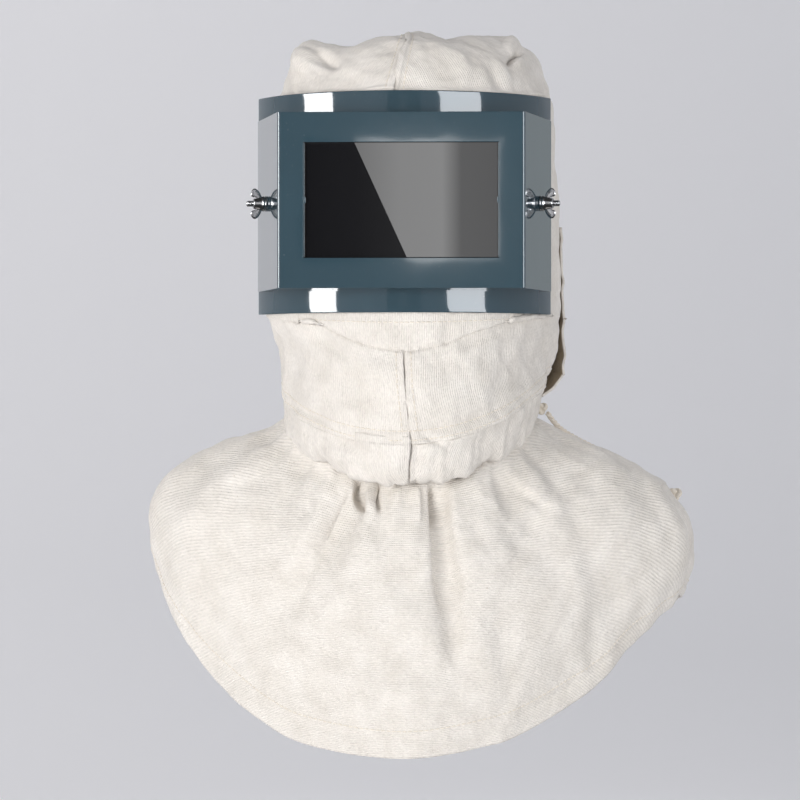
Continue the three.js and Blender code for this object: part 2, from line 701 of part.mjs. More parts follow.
function outwardAt(pointAt, a, b) {
  const small = 0.01;
  const point = pointAt(a, b);
  const along = pointAt(a + small, b).sub(point);
  return pointAt(a, b + small).sub(point).cross(along).normalize();
}

function makeTie() {
  const knotCentre = hoodPoint(tiePlace.angle, tiePlace.v)
    .addScaledVector(outwardAt(hoodPoint, tiePlace.angle, tiePlace.v), gap + knotRadius);
  addPiece('tie_knot', new THREE.IcosahedronGeometry(knotRadius, 1), cotton).position.copy(knotCentre);
  const route = new THREE.CatmullRomCurve3(tieRoute.map((point) => new THREE.Vector3(...point)));
  const section = new THREE.Shape().absarc(0, 0, cordRadius, 0, 2 * Math.PI);
  const stepCount = Math.round(route.getLength() / (4 * cordRadius));
  const tube = { steps: stepCount, extrudePath: route, bevelEnabled: false, curveSegments: 4 };
  addPiece('tie_cord', new THREE.ExtrudeGeometry(section, tube), cotton);
  const end = route.getPoint(1).addScaledVector(route.getTangent(1), gap + endKnotRadius);
  addPiece('tie_end_knot', new THREE.IcosahedronGeometry(endKnotRadius, 1), cotton).position.copy(end);
}

makeHoodHalf(-1);
makeHoodHalf(1);
makeChinGusset();
makeCape();
makeBackFlap();
makeVisorFrame();
makeWindowCover();
makeWindowGlass();
makeFasteners(-1);
makeFasteners(1);
makeTie();

export default hood;
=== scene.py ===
# %% [markdown]
# # A sandblasting hood
# A canvas hood and cape with a curved plastic visor in front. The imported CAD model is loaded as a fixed
# frame, and each piece below is laid on it or takes the place of one of its solids. Shapes are surfaces
# worked out with numpy, in metres, in the frame's own axes: the front faces -Y and +Z is up.

import math

import bmesh
import bpy
import numpy as np
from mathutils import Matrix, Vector


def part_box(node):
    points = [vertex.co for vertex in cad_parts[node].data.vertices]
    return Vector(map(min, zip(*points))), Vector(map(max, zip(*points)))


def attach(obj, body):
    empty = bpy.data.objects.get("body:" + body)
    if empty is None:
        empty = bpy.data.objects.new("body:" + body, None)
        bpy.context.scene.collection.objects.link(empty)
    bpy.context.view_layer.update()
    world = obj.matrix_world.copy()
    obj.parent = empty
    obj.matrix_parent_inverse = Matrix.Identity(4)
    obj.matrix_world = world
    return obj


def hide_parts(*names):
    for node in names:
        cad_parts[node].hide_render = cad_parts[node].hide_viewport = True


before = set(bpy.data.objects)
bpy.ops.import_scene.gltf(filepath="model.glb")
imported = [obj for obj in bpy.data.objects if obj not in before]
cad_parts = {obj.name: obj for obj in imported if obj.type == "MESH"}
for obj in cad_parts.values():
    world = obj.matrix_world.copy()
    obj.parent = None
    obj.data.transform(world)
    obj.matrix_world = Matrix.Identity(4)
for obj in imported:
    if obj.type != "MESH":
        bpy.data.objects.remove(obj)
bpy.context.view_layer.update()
MM = 0.001

# %% [markdown]
# ## Camera
# The hood was photographed from straight in front, a little to its own right, with a long lens at the
# height of the neck. A long lens keeps the near window and the far hem at nearly the same scale.

# %% The camera
camera_data = bpy.data.cameras.new("camera")
camera_data.sensor_width = 36
camera_data.lens = 151.56
camera = bpy.data.objects.new("camera", camera_data)
camera.location = (0.0718, -2.699, -0.283)
camera.rotation_euler = (math.radians(90), 0, math.radians(1.63))
bpy.context.scene.collection.objects.link(camera)
bpy.context.scene.camera = camera
bpy.context.scene.view_settings.view_transform = "Standard"
print("camera", tuple(camera.location), "lens", camera_data.lens)

# %% [markdown]
# ## Meshes from arrays
# Every surface here is a grid: an array of rows and columns of points. One helper turns such an array
# into quads, and another puts points and faces into a mesh. A UV map in metres goes with each grid, so
# that a weave can be drawn at its true size along the cloth.


# %% Grids and meshes
def grid_faces(rows, columns, closed=False, keep=None):
    """Quads of a grid of rows by columns points. The last column joins the first one if closed."""
    last = columns if closed else columns - 1
    i, j = np.meshgrid(np.arange(rows - 1), np.arange(last), indexing="ij")
    if keep is not None:
        i, j = i[keep], j[keep]
    k = (j + 1) % columns
    quads = [i * columns + j, (i + 1) * columns + j, (i + 1) * columns + k, i * columns + k]
    return np.stack([q.ravel() for q in quads], axis=1)


def make_object(name, points, faces, material, uv=None, smooth=True):
    """A mesh object at the origin from points in metres. uv has one pair for each point."""
    mesh = bpy.data.meshes.new(name)
    mesh.from_pydata(np.asarray(points).reshape(-1, 3).tolist(), [], [list(f) for f in faces])
    if uv is not None:
        layer = mesh.uv_layers.new(name="cloth")
        corner = np.empty(len(mesh.loops), int)
        mesh.loops.foreach_get("vertex_index", corner)
        layer.data.foreach_set("uv", np.asarray(uv).reshape(-1, 2)[corner].ravel())
    mesh.polygons.foreach_set("use_smooth", [smooth] * len(mesh.polygons))
    mesh.materials.append(material)
    mesh.update()
    piece = bpy.data.objects.new(name, mesh)
    bpy.context.scene.collection.objects.link(piece)
    return piece


def loose_vertices_removed(points, faces, uv=None):
    """Points that no face uses are dropped, and the faces are numbered again."""
    used, numbered = np.unique(faces, return_inverse=True)
    flat_uv = None if uv is None else np.asarray(uv).reshape(-1, 2)[used]
    return np.asarray(points).reshape(-1, 3)[used], numbered.reshape(faces.shape), flat_uv


def unit(vectors):
    """Vectors along the last axis at length one."""
    return vectors / np.maximum(np.linalg.norm(vectors, axis=-1, keepdims=True), 1e-12)


def grid_normals(points):
    """Outward normals of a grid whose columns run to the right and whose rows run down."""
    down = np.gradient(points, axis=0)
    along = np.gradient(points, axis=1)
    return unit(np.cross(down, along))


def bell(offset, width):
    """A bell curve, 1 at no offset and about a third at the width."""
    return np.exp(-((offset / width) ** 2))


def ease(value, start, end):
    """0 before start, 1 after end, and a smooth step between them."""
    t = np.clip((value - start) / (end - start), 0, 1)
    return t * t * (3 - 2 * t)


# %% [markdown]
# ## Finishes
# Five finishes cover the whole hood: raw cotton canvas, glossy moulded plastic, dark glass, bright
# plated steel and cotton cord. Each is a small node tree. The canvas reads the UV map in metres, so its
# ribs keep their size on every panel. The hard finishes read Object coordinates.


# %% Node helpers
def new_material(name, **sockets):
    """A material with one Principled BSDF, whose sockets are set by name."""
    material = bpy.data.materials.new(name)
    material.use_nodes = True
    shader = material.node_tree.nodes["Principled BSDF"]
    for socket, value in sockets.items():
        shader.inputs[socket.replace("_", " ")].default_value = value
    return material, material.node_tree, shader


def node(tree, kind, inputs=None, **settings):
    """A new node of that kind. inputs maps a socket's name or number to a value or to another socket."""
    made = tree.nodes.new(kind)
    for key, value in settings.items():
        setattr(made, key, value)
    for key, value in (inputs or {}).items():
        if isinstance(value, bpy.types.NodeSocket):
            tree.links.new(value, made.inputs[key])
        else:
            made.inputs[key].default_value = value
    return made


def maths(tree, operation, first, second=0.0):
    """One Math node, and its result."""
    return node(tree, "ShaderNodeMath", {0: first, 1: second}, operation=operation).outputs[0]


def ramp(tree, factor, stops):
    """A colour ramp through (place, grey or colour) stops, and its colour."""
    made = node(tree, "ShaderNodeValToRGB", {"Fac": factor})
    elements = made.color_ramp.elements
    while len(elements) < len(stops):
        elements.new(0.5)
    for element, (place, colour) in zip(elements, stops):
        element.position = place
        element.color = (*colour, 1) if isinstance(colour, tuple) else (colour, colour, colour, 1)
    return made.outputs["Color"]


def mix_colour(tree, factor, first, second, blend_type="MIX"):
    """A colour mix, and its result."""
    made = node(tree, "ShaderNodeMix", data_type="RGBA", blend_type=blend_type)
    for socket, value in zip((made.inputs[0], made.inputs[6], made.inputs[7]), (factor, first, second)):
        if isinstance(value, bpy.types.NodeSocket):
            tree.links.new(value, socket)
        else:
            socket.default_value = value
    return made.outputs[2]


def noise(tree, coordinates, scale, detail=3.0, roughness=0.55):
    """A noise texture's value at that scale."""
    sockets = {"Vector": coordinates, "Scale": scale, "Detail": detail, "Roughness": roughness}
    return node(tree, "ShaderNodeTexNoise", sockets).outputs[0]


# %% [markdown]
# Canvas is a plain weave of thick cotton yarn. Here the cross yarns show as fine ribs 1.75 mm apart,
# and the long yarns break each rib into short bumps. Raw cotton also has slubs, which are thicker bits
# of yarn, and small brown flecks of seed husk.


# %% Canvas
def make_canvas(name, light, dark, rib_pitch=1.75 * MM):
    """Canvas whose height is rib(v) * (yarn bumps along u), roughened by noise along the yarns."""
    material, tree, shader = new_material(name, Roughness=0.92, Sheen_Weight=0.25, Sheen_Roughness=0.5)
    shader.inputs["Specular IOR Level"].default_value = 0.2
    coordinates = node(tree, "ShaderNodeUVMap", uv_map="cloth").outputs[0]
    split = node(tree, "ShaderNodeSeparateXYZ", {0: coordinates})
    wander = noise(tree, coordinates, 90.0, 2.0)
    turn = 2 * math.pi / rib_pitch
    drift = maths(tree, "MULTIPLY", wander, 3.4)
    along_rib = maths(tree, "ADD", maths(tree, "MULTIPLY", split.outputs[1], turn), drift)
    rib = maths(tree, "SINE", along_rib)
    across = maths(tree, "ADD", maths(tree, "MULTIPLY", split.outputs[0], turn * 1.6), drift)
    yarn = maths(tree, "SINE", across)
    weave = maths(tree, "ADD", rib, maths(tree, "MULTIPLY", yarn, 0.4))
    stretched = node(tree, "ShaderNodeMapping", {"Vector": coordinates, "Scale": (0.3, 1.0, 1.0)})
    slub = noise(tree, stretched.outputs[0], 900.0, 3.0)
    patch = noise(tree, coordinates, 38.0, 4.0, 0.6)
    fleck_field = noise(tree, coordinates, 620.0, 1.0)
    fleck = ramp(tree, fleck_field, [(0.0, 0.0), (0.735, 0.0), (0.78, 1.0), (1.0, 1.0)])
    tone = mix_colour(tree, ramp(tree, patch, [(0.3, 0.0), (0.7, 1.0)]), dark, light)
    slub_tone = ramp(tree, slub, [(0.28, 0.86), (0.72, 1.05)])
    toned = mix_colour(tree, 1.0, tone, slub_tone, "MULTIPLY")
    # Painted shade: the colour is darker in the low parts of the weave, from 0.90 in the grooves to 1.03 on the
    # ribs.
    groove_shade = ramp(tree, maths(tree, "MULTIPLY_ADD", weave, 0.25), [(0.0, 0.90), (1.0, 1.03)])
    woven = mix_colour(tree, 1.0, toned, groove_shade, "MULTIPLY")
    fleck_strength = maths(tree, "MULTIPLY", fleck, 0.45)
    coloured = mix_colour(tree, fleck_strength, woven, (0.36, 0.27, 0.17, 1))
    tree.links.new(coloured, shader.inputs["Base Color"])
    height = maths(tree, "ADD", maths(tree, "MULTIPLY", weave, 0.5), maths(tree, "MULTIPLY", slub, 1.6))
    fine = node(tree, "ShaderNodeBump", {"Strength": 0.9, "Distance": 0.25 * MM, "Height": height})
    pucker = noise(tree, coordinates, 160.0, 3.0, 0.6)
    sockets = {"Strength": 0.7, "Distance": 1.0 * MM, "Height": pucker, "Normal": fine.outputs[0]}
    tree.links.new(node(tree, "ShaderNodeBump", sockets).outputs[0], shader.inputs["Normal"])
    return material


CREAM_LIGHT = (0.80, 0.755, 0.695, 1)
CREAM_DARK = (0.70, 0.652, 0.588, 1)
canvas = make_canvas("raw_canvas", CREAM_LIGHT, CREAM_DARK)
# Painted shade: a darker, browner copy of the canvas for the back flap's inner faces, in place of the shade and
# warm bounce light inside the lap.
painted_shade_canvas = make_canvas("painted_shade_canvas", (0.44, 0.35, 0.235, 1), (0.34, 0.265, 0.17, 1))
print("canvas nodes", len(canvas.node_tree.nodes))

# %% [markdown]
# The visor is moulded in a dark blue-green plastic with a high gloss. Moulded gloss is never quite flat,
# so a slow, shallow bump bends its reflections a little, and dust shows as tiny dull specks.


# %% Glossy plastic
def make_plastic(name, colour):
    """Coated plastic: a slow bump like orange peel, and roughness that wanders with fine scuffs."""
    material, tree, shader = new_material(name, Roughness=0.16, IOR=1.5)
    shader.inputs["Coat Weight"].default_value = 1.0
    shader.inputs["Specular IOR Level"].default_value = 0.25
    shader.inputs["Coat Roughness"].default_value = 0.03
    coordinates = node(tree, "ShaderNodeTexCoord").outputs["Object"]
    dust = noise(tree, coordinates, 900.0, 2.0)
    specks = ramp(tree, dust, [(0.0, 0.0), (0.72, 0.0), (0.80, 1.0)])
    slow = noise(tree, coordinates, 14.0, 2.0)
    deep = tuple(0.88 * c for c in colour[:3])
    tone = mix_colour(tree, slow, (*deep, 1), (*(1.08 * c for c in colour[:3]), 1))
    dusty = mix_colour(tree, maths(tree, "MULTIPLY", specks, 0.25), tone, (0.4, 0.42, 0.42, 1))
    tree.links.new(dusty, shader.inputs["Base Color"])
    scuffs = noise(tree, coordinates, 240.0, 4.0, 0.7)
    tree.links.new(ramp(tree, scuffs, [(0.3, 0.06), (0.75, 0.15)]), shader.inputs["Roughness"])
    sockets = {"Strength": 0.25, "Distance": 0.4 * MM, "Height": slow}
    bump = node(tree, "ShaderNodeBump", sockets)
    tree.links.new(bump.outputs[0], shader.inputs["Normal"])
    tree.links.new(bump.outputs[0], shader.inputs["Coat Normal"])
    return material


plastic = make_plastic("blue_green_plastic", (0.024, 0.052, 0.069, 1))
print("plastic nodes", len(plastic.node_tree.nodes))

# %% [markdown]
# The pane is a nearly black filter glass. It lets so little light through that it acts as a dark
# mirror. The steel is bright zinc plate, a little cloudy, and the cord is twisted cotton.


# %% Glass, steel and cord
def make_glass(name):
    """A near-black mirror: a dark base under a clear gloss, with faint smears in its roughness."""
    material, tree, shader = new_material(name, Base_Color=(0.006, 0.006, 0.007, 1), IOR=1.52)
    coordinates = node(tree, "ShaderNodeTexCoord").outputs["Object"]
    smears = noise(tree, coordinates, 30.0, 3.0, 0.6)
    tree.links.new(ramp(tree, smears, [(0.35, 0.0), (0.8, 0.012)]), shader.inputs["Roughness"])
    return material


def make_steel(name):
    """Zinc plate: metal with a cloudy roughness and very fine scratches in its bump."""
    material, tree, shader = new_material(name, Base_Color=(0.60, 0.60, 0.61, 1), Metallic=1.0)
    coordinates = node(tree, "ShaderNodeTexCoord").outputs["Object"]
    cloud = noise(tree, coordinates, 400.0, 3.0)
    tree.links.new(ramp(tree, cloud, [(0.3, 0.10), (0.75, 0.26)]), shader.inputs["Roughness"])
    scratches = noise(tree, coordinates, 2600.0, 2.0)
    sockets = {"Strength": 0.2, "Distance": 0.05 * MM, "Height": scratches}
    tree.links.new(node(tree, "ShaderNodeBump", sockets).outputs[0], shader.inputs["Normal"])
    return material


def make_cotton(name):
    """Cotton cord: fibres along the strand as stretched noise, darker where the noise is low."""
    material, tree, shader = new_material(name, Roughness=0.95, Sheen_Weight=0.3)
    coordinates = node(tree, "ShaderNodeTexCoord").outputs["Object"]
    fibres = noise(tree, coordinates, 1500.0, 3.0)
    colours = [(0.2, (0.56, 0.49, 0.40)), (0.8, (0.86, 0.80, 0.70))]
    tree.links.new(ramp(tree, fibres, colours), shader.inputs["Base Color"])
    sockets = {"Strength": 0.7, "Distance": 0.2 * MM, "Height": fibres}
    tree.links.new(node(tree, "ShaderNodeBump", sockets).outputs[0], shader.inputs["Normal"])
    return material


dark_glass = make_glass("dark_glass")
steel = make_steel("zinc_steel")
cotton = make_cotton("cotton_cord")
print("materials", [m.name for m in (canvas, plastic, dark_glass, steel, cotton)])

# %% [markdown]
# ## The neck tie
# A cotton cord closes the back of the hood. It leaves its knot at the foot of the back flap, drops onto
# the shoulder of the cape, and ends in a knot of its own. Its route repeats the model's points, chosen
# so that the cord lies on the cape. Three strands twist round that line, as in real cord.

# %% The route and the twisted strands
TIE_ROUTE = np.array([
    [113.4, 20.3, -293.3],
    [115.6, 21.8, -296.6],
    [118.2, 23.8, -300.0],
    [121.3, 26.5, -303.4],
    [124.9, 29.9, -306.6],
    [129.2, 33.6, -309.6],
    [134.6, 38.4, -312.8],
    [141.1, 42.8, -316.3],
    [148.6, 46.4, -320.1],
    [156.8, 49.4, -324.3],
    [165.2, 52.0, -328.8],
    [173.8, 54.2, -333.9],
    [182.1, 55.7, -339.1],
    [190.2, 56.4, -344.6],
    [197.9, 56.2, -350.0],
    [205.0, 55.2, -354.3],
    [211.4, 53.8, -357.2],
]) * MM
CORD_RADIUS = 2.2 * MM
CORD_TWIST = 13 * MM


def smooth_route(points, per_span=10):
    """A Catmull-Rom curve through the points: between two of them, a cubic whose end slopes are half
    the way from the point before to the point after."""
    padded = np.concatenate([[2 * points[0] - points[1]], points, [2 * points[-1] - points[-2]]])
    t = np.linspace(0, 1, per_span, endpoint=False)[None, :, None]
    p0, p1, p2, p3 = (padded[k : len(padded) - 3 + k, None, :] for k in range(4))
    cubic = 2 * p1 + (p2 - p0) * t + (2 * p0 - 5 * p1 + 4 * p2 - p3) * t**2
    cubic = cubic + (3 * p1 - p0 - 3 * p2 + p3) * t**3
    return np.concatenate([cubic.reshape(-1, 3) / 2, points[-1:]])


def side_vectors(path, up=(0, 0, 1)):
    """Two unit vectors square to the path at each point, the second as near to up as it can be."""
    forward = unit(np.gradient(path, axis=0))
    across = unit(np.cross(forward, np.asarray(up, float)))
    return across, np.cross(across, forward)


def tube(path, radius, sides=10, up=(0, 0, 1)):
    """Points round a path at a radius, one row for each point of the path: radius * (cos a, sin a)."""
    across, above = side_vectors(path, up)
    turn = np.linspace(0, 2 * math.pi, sides, endpoint=False)[None, :, None]
    reach = np.broadcast_to(np.asarray(radius, float), len(path))[:, None, None]
    ring = np.cos(turn) * across[:, None] + np.sin(turn) * above[:, None]
    return path[:, None] + reach * ring


def tube_faces(rows, sides, start=0):
    """Quads of a tube and a fan at both ends, as one list. Its first vertex is number start."""
    sides_of = grid_faces(rows, sides, closed=True)[:, ::-1] + start
    first = list(range(start, start + sides))
    last = [start + (rows - 1) * sides + k for k in reversed(range(sides))]
    return [*sides_of.tolist(), first[::-1], last[::-1]]


def joined_tubes(paths, radius, sides=10, up=(0, 0, 1)):
    """Several tubes as one list of points and one of faces."""
    points, faces, start = [], [], 0
    for path in paths:
        rings = tube(path, radius, sides, up)
        points.append(rings.reshape(-1, 3))
        faces.extend(tube_faces(len(path), sides, start))
        start += len(path) * sides
    return np.concatenate(points), faces


def strands(path, radius, twist, count=3):
    """Centre lines of strands that turn round a path: an offset of radius / 2 at angle 2 pi s / twist."""
    across, above = side_vectors(path)
    step = np.linalg.norm(np.diff(path, axis=0), axis=1)
    turn = 2 * math.pi * np.concatenate([[0], np.cumsum(step)])[:, None] / twist
    starts = [2 * math.pi * k / count for k in range(count)]
    return [path + radius / 2 * (np.cos(turn + s) * across + np.sin(turn + s) * above) for s in starts]


def finish_piece(piece, body="hood", nodes=()):
    """The piece rides on its body and stands for these CAD nodes, which it hides."""
    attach(piece, body)
    if nodes:
        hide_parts(*nodes)
    return piece


cord_line = smooth_route(TIE_ROUTE)
cord_points, cord_faces = joined_tubes(strands(cord_line, CORD_RADIUS, CORD_TWIST), CORD_RADIUS / 2, 8)
tie_cord = make_object("twisted_tie_cord", cord_points, cord_faces, cotton)
finish_piece(tie_cord, nodes=["tie_cord"])

# %% [markdown]
# An overhand knot pulled tight looks like a small ball of three crossing turns. A trefoil curve gives
# that: it goes round twice while it passes over and under itself three times.


# %% The two knots
def trefoil(centre, reach, steps=120):
    """x = sin a + 2 sin 2a, y = -sin 3a, z = cos a - 2 cos 2a, scaled so that it reaches that far."""
    a = np.linspace(0, 2 * math.pi, steps, endpoint=False)
    curve = [np.sin(a) + 2 * np.sin(2 * a), -1.2 * np.sin(3 * a), np.cos(a) - 2 * np.cos(2 * a)]
    return np.asarray(centre) + reach / 3 * np.stack(curve, axis=1)


def closed_tube(path, radius, sides=10):
    """A tube along a closed path, as points and faces."""
    forward = unit(np.roll(path, -1, axis=0) - np.roll(path, 1, axis=0))
    outward = unit(path - path.mean(axis=0))
    across = unit(np.cross(forward, outward))
    above = np.cross(across, forward)
    turn = np.linspace(0, 2 * math.pi, sides, endpoint=False)[None, :, None]
    rings = path[:, None] + radius * (np.cos(turn) * across[:, None] + np.sin(turn) * above[:, None])
    rows = np.concatenate([rings, rings[:1]])
    faces = grid_faces(len(rows), sides, closed=True)[:, ::-1] % (len(path) * sides)
    return rings.reshape(-1, 3), faces


def make_knot(name, cad_node, cord_radius):
    """A tight knot in the place and size of a CAD knot: two tubes on trefoils, the second at half the reach."""
    low, high = (np.array(corner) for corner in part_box(cad_node))
    reach = float((high - low).min()) / 2
    turns = trefoil((low + high) / 2, reach - cord_radius)
    points, faces = closed_tube(turns, cord_radius)
    core_points, core_faces = closed_tube(trefoil((low + high) / 2, (reach - cord_radius) / 2), cord_radius)
    points = np.concatenate([points, core_points])
    faces = np.concatenate([faces, core_faces + len(turns) * 10])
    knot = make_object(name, points, faces, cotton)
    return finish_piece(knot, nodes=[cad_node])


flap_knot = make_knot("flap_knot", "tie_knot", 2.0 * MM)
end_knot = make_knot("cord_end_knot", "tie_end_knot", 2.2 * MM)
print("knots", flap_knot.name, end_knot.name)

# %% [markdown]
# ## The shape of the canvas
# The hood is described as the CAD model describes it: rings from the crown down to the neck seam, with
# a radius at the front, cheek, side and back of each. Smooth curves join the rings, and the curves
# never overshoot, so a ring's numbers can be read as what they are. Shares are of the face radius.

# %% Rings of the hood
FACE_RADIUS = 123 * MM
CROWN_DROP = 46 * MM
FRAME_HEIGHT = 170 * MM
NECK_DROP = 120 * MM
CLOTH = 2 * MM
FOLD_DEPTH = 10 * MM
SEAM_GAP = 0.4 * MM
GAP = 0.3 * MM
VIEW_HALF_ANGLE = 42
FRAME_FOOT = -(CROWN_DROP + FRAME_HEIGHT)
STRETCHES = {
    "crown": (CLOTH, CROWN_DROP + CLOTH),
    "frame": (-CROWN_DROP, FRAME_HEIGHT),
    "neck": (FRAME_FOOT, NECK_DROP),
}
# part, down, sag, sag reach, tilt, twist, then radii: front, right cheek, right, back, left, left cheek
HOOD_SECTIONS = [
    ("crown", 0.00, 0.00, 90, 0.00, 0.0, 0.000, 0.000, 0.000, 0.000, 0.000, 0.000),
    ("crown", 0.00, 0.00, 90, 0.00, 2.0, 0.330, 0.330, 0.330, 0.330, 0.330, 0.330),
    ("crown", 0.03, 0.00, 90, 0.00, 2.0, 0.600, 0.640, 0.660, 0.660, 0.610, 0.630),
    ("crown", 0.12, 0.00, 90, 0.00, 1.5, 0.740, 0.770, 0.775, 0.780, 0.695, 0.735),
    ("crown", 0.32, 0.00, 90, 0.00, 0.0, 0.850, 0.860, 0.855, 0.870, 0.740, 0.795),
    ("crown", 0.65, 0.00, 90, 0.00, -1.5, 0.940, 0.935, 0.900, 0.925, 0.765, 0.840),
    ("crown", 0.90, 0.00, 90, 0.00, -2.5, 0.985, 0.975, 0.925, 0.945, 0.780, 0.875),
    ("frame", 0.00, 0.00, 90, 0.00, -2.8, 1.000, 1.000, 0.940, 0.950, 0.800, 0.950),
    ("frame", 0.14, 0.00, 90, 0.00, 0.0, 1.000, 1.000, 0.965, 0.965, 0.835, 1.000),
    ("frame", 0.50, 0.00, 90, 0.00, 0.0, 1.000, 1.000, 0.990, 0.975, 0.865, 1.000),
    ("frame", 0.86, 0.00, 90, 0.00, 0.0, 1.000, 1.000, 1.000, 0.970, 0.865, 1.000),
    ("frame", 1.00, 0.00, 90, 0.00, 0.5, 0.995, 0.995, 0.995, 0.960, 0.855, 0.990),
    ("neck", 0.03, 0.21, 52, 0.00, 0.5, 0.990, 0.980, 0.990, 0.955, 0.845, 0.960),
    ("neck", 0.22, 0.24, 70, 0.00, 1.0, 1.010, 0.970, 0.975, 0.935, 0.815, 0.900),
    ("neck", 0.41, 0.43, 100, 0.05, 3.2, 1.025, 0.965, 0.915, 0.890, 0.785, 0.885),
    ("neck", 0.57, 0.43, 95, 0.03, 2.5, 0.995, 0.930, 0.865, 0.860, 0.780, 0.880),
    ("neck", 0.68, 0.42, 95, 0.01, 2.5, 0.935, 0.885, 0.830, 0.830, 0.765, 0.860),
    ("neck", 0.70, 0.40, 95, 0.00, 2.5, 0.860, 0.815, 0.775, 0.785, 0.715, 0.805),
    ("neck", 0.70, 0.39, 95, 0.00, 2.5, 0.790, 0.750, 0.720, 0.735, 0.665, 0.745),
]
ROW = {"view_top": 8, "view_foot": 10, "frame_foot": 11, "chin_seam": 12, "casing_seam": 14, "neck_seam": 18}
SECTION_NUMBERS = np.arange(len(HOOD_SECTIONS), dtype=float)
SECTION_VALUES = np.array([section[1:] for section in HOOD_SECTIONS])
COLUMNS = ["down", "sag", "reach", "tilt", "twist", "front", "right_cheek", "right", "back", "left", "left_cheek"]
SECTION_HEIGHTS = np.array([STRETCHES[s[0]][0] - s[1] * STRETCHES[s[0]][1] for s in HOOD_SECTIONS])


def slopes(places, values):
    """The slope at each place: none where the values turn, else the harmonic mean of the slopes before
    and after it."""
    widths = np.diff(places).reshape(-1, *[1] * (values.ndim - 1))
    secants = np.diff(values, axis=0) / widths
    before, after = secants[:-1], secants[1:]
    same = before * after > 0
    mean = np.where(same, 2 * before * after / np.where(same, before + after, 1), 0)
    return np.concatenate([secants[:1], mean, secants[-1:]])


def curve_at(places, values, at):
    """A cubic between each two places with those slopes at its ends."""
    places, values, at = (np.asarray(a, float) for a in (places, values, at))
    slope = slopes(places, values)
    i = np.searchsorted(places[1:-1], at)
    span = places[i + 1] - places[i]
    t = np.clip((at - places[i]) / span, 0, 1)

    def pick(table, index):
        if table.ndim == 1:
            return table[index]
        return np.take_along_axis(table, index[None], axis=0)[0]

    start, end = pick(slope, i) * span, pick(slope, i + 1) * span
    ends = pick(values, i) * (2 * t**3 - 3 * t**2 + 1) + pick(values, i + 1) * (3 * t**2 - 2 * t**3)
    return ends + start * (t**3 - 2 * t**2 + t) + end * (t**3 - t**2)


def ring_curve_at(angles, values, angle):
    """The same curve round a closed ring: the table is repeated a turn before and a turn after."""
    angles = np.asarray(angles, float)
    places = np.concatenate([angles[:-1] - 360, angles, angles[1:] + 360])
    looped = np.concatenate([values[:-1], values, values[1:]])
    return curve_at(places, looped, angle)


def hood_column(name, v):
    """A column of the ring table at section number v."""
    return curve_at(SECTION_NUMBERS, SECTION_VALUES[:, COLUMNS.index(name)], v)


print("rings", len(HOOD_SECTIONS), "from", SECTION_HEIGHTS[0], "to", round(float(SECTION_HEIGHTS[-1]), 4))

# %% [markdown]
# Soft canvas on a head makes dents and ridges. Each fold is a bell-shaped bump in one or two
# directions, added to the smooth form. The tables place them round the hood and down it.

# %% Folds of the crown and the sides
# x and y of the middle, half-length, half-width, turn in degrees, rise
CROWN_FOLDS = [
    (-0.62, -0.30, 0.45, 0.10, 6, 0.35),
    (-0.31, -0.30, 0.60, 0.19, -4, -0.85),
    (0.08, -0.20, 0.75, 0.10, 3, 0.45),
    (0.26, -0.40, 0.45, 0.08, 8, -0.30),
    (0.58, -0.10, 0.60, 0.20, -5, 0.40),
    (0.64, -0.62, 0.20, 0.07, 38, -0.50),
    (-0.50, -0.72, 0.22, 0.07, -50, -0.40),
    (0.00, 0.55, 0.18, 0.55, 0, -0.30),
]
# angle and section number of the middle, half-width of each, rise
HOOD_FOLDS = [
    (-112, 12.5, 9, 1.6, -0.70),
    (-150, 13.5, 10, 1.8, -0.60),
    (165, 11.0, 12, 2.4, -0.70),
    (-172, 14.5, 8, 1.2, 0.50),
    (-52, 13.2, 14, 0.5, -0.30),
    (58, 13.3, 16, 0.5, -0.40),
    (-34, 15.0, 12, 0.6, 0.25),
    (30, 14.6, 18, 0.5, -0.30),
]


def crown_rise(x, y):
    """The sum of the crown's folds: rise * bell(across a fold) * bell(along it)."""
    total = np.zeros(np.broadcast(x, y).shape)
    for fold_x, fold_y, long, wide, turn, rise in CROWN_FOLDS:
        across, along = x / FACE_RADIUS - fold_x, y / FACE_RADIUS - fold_y
        cos, sin = math.cos(math.radians(turn)), math.sin(math.radians(turn))
        side = bell(across * cos + along * sin, wide)
        total += rise * FOLD_DEPTH * side * bell(along * cos - across * sin, long)
    return total


def hood_point(angle, v):
    """A point of the hood's outer face. Angle 0 is the front and 90 the right-hand side. The radius is a
    ring curve through six shares plus the folds; the height is the ring's, lifted by tilt * sin(angle)
    and lowered at the front by sag * cos squared."""
    angle, v = np.broadcast_arrays(np.asarray(angle, float), np.asarray(v, float))
    names = ["back", "left", "left_cheek", "front", "right_cheek", "right", "back"]
    radii = np.stack([hood_column(name, v) for name in names])
    share = ring_curve_at([-180, -90, -60, 0, 60, 90, 180], radii, angle)
    folds = sum(r * FOLD_DEPTH * bell(angle - a, aw) * bell(v - at, vw) for a, at, aw, vw, r in HOOD_FOLDS)
    radius = np.where(share <= 1e-9, 0, share * FACE_RADIUS + folds)
    twist = hood_column("twist", v) * np.cos(np.radians(angle / 2)) ** 2
    turned = np.radians(angle + twist)
    reach = hood_column("reach", v)
    sag = np.where(np.abs(angle) < reach, np.cos(np.radians(angle * 90 / reach)) ** 2, 0)
    lift = hood_column("tilt", v) * np.sin(np.radians(angle)) - hood_column("sag", v) * sag
    x, y = radius * np.sin(turned), -radius * np.cos(turned)
    fade = np.clip(1 - v / (ROW["view_top"] - 1), 0, 1)
    z = curve_at(SECTION_NUMBERS, SECTION_HEIGHTS, v) + lift * NECK_DROP + crown_rise(x, y) * np.sqrt(fade)
    return np.stack([x, y, z], axis=-1)


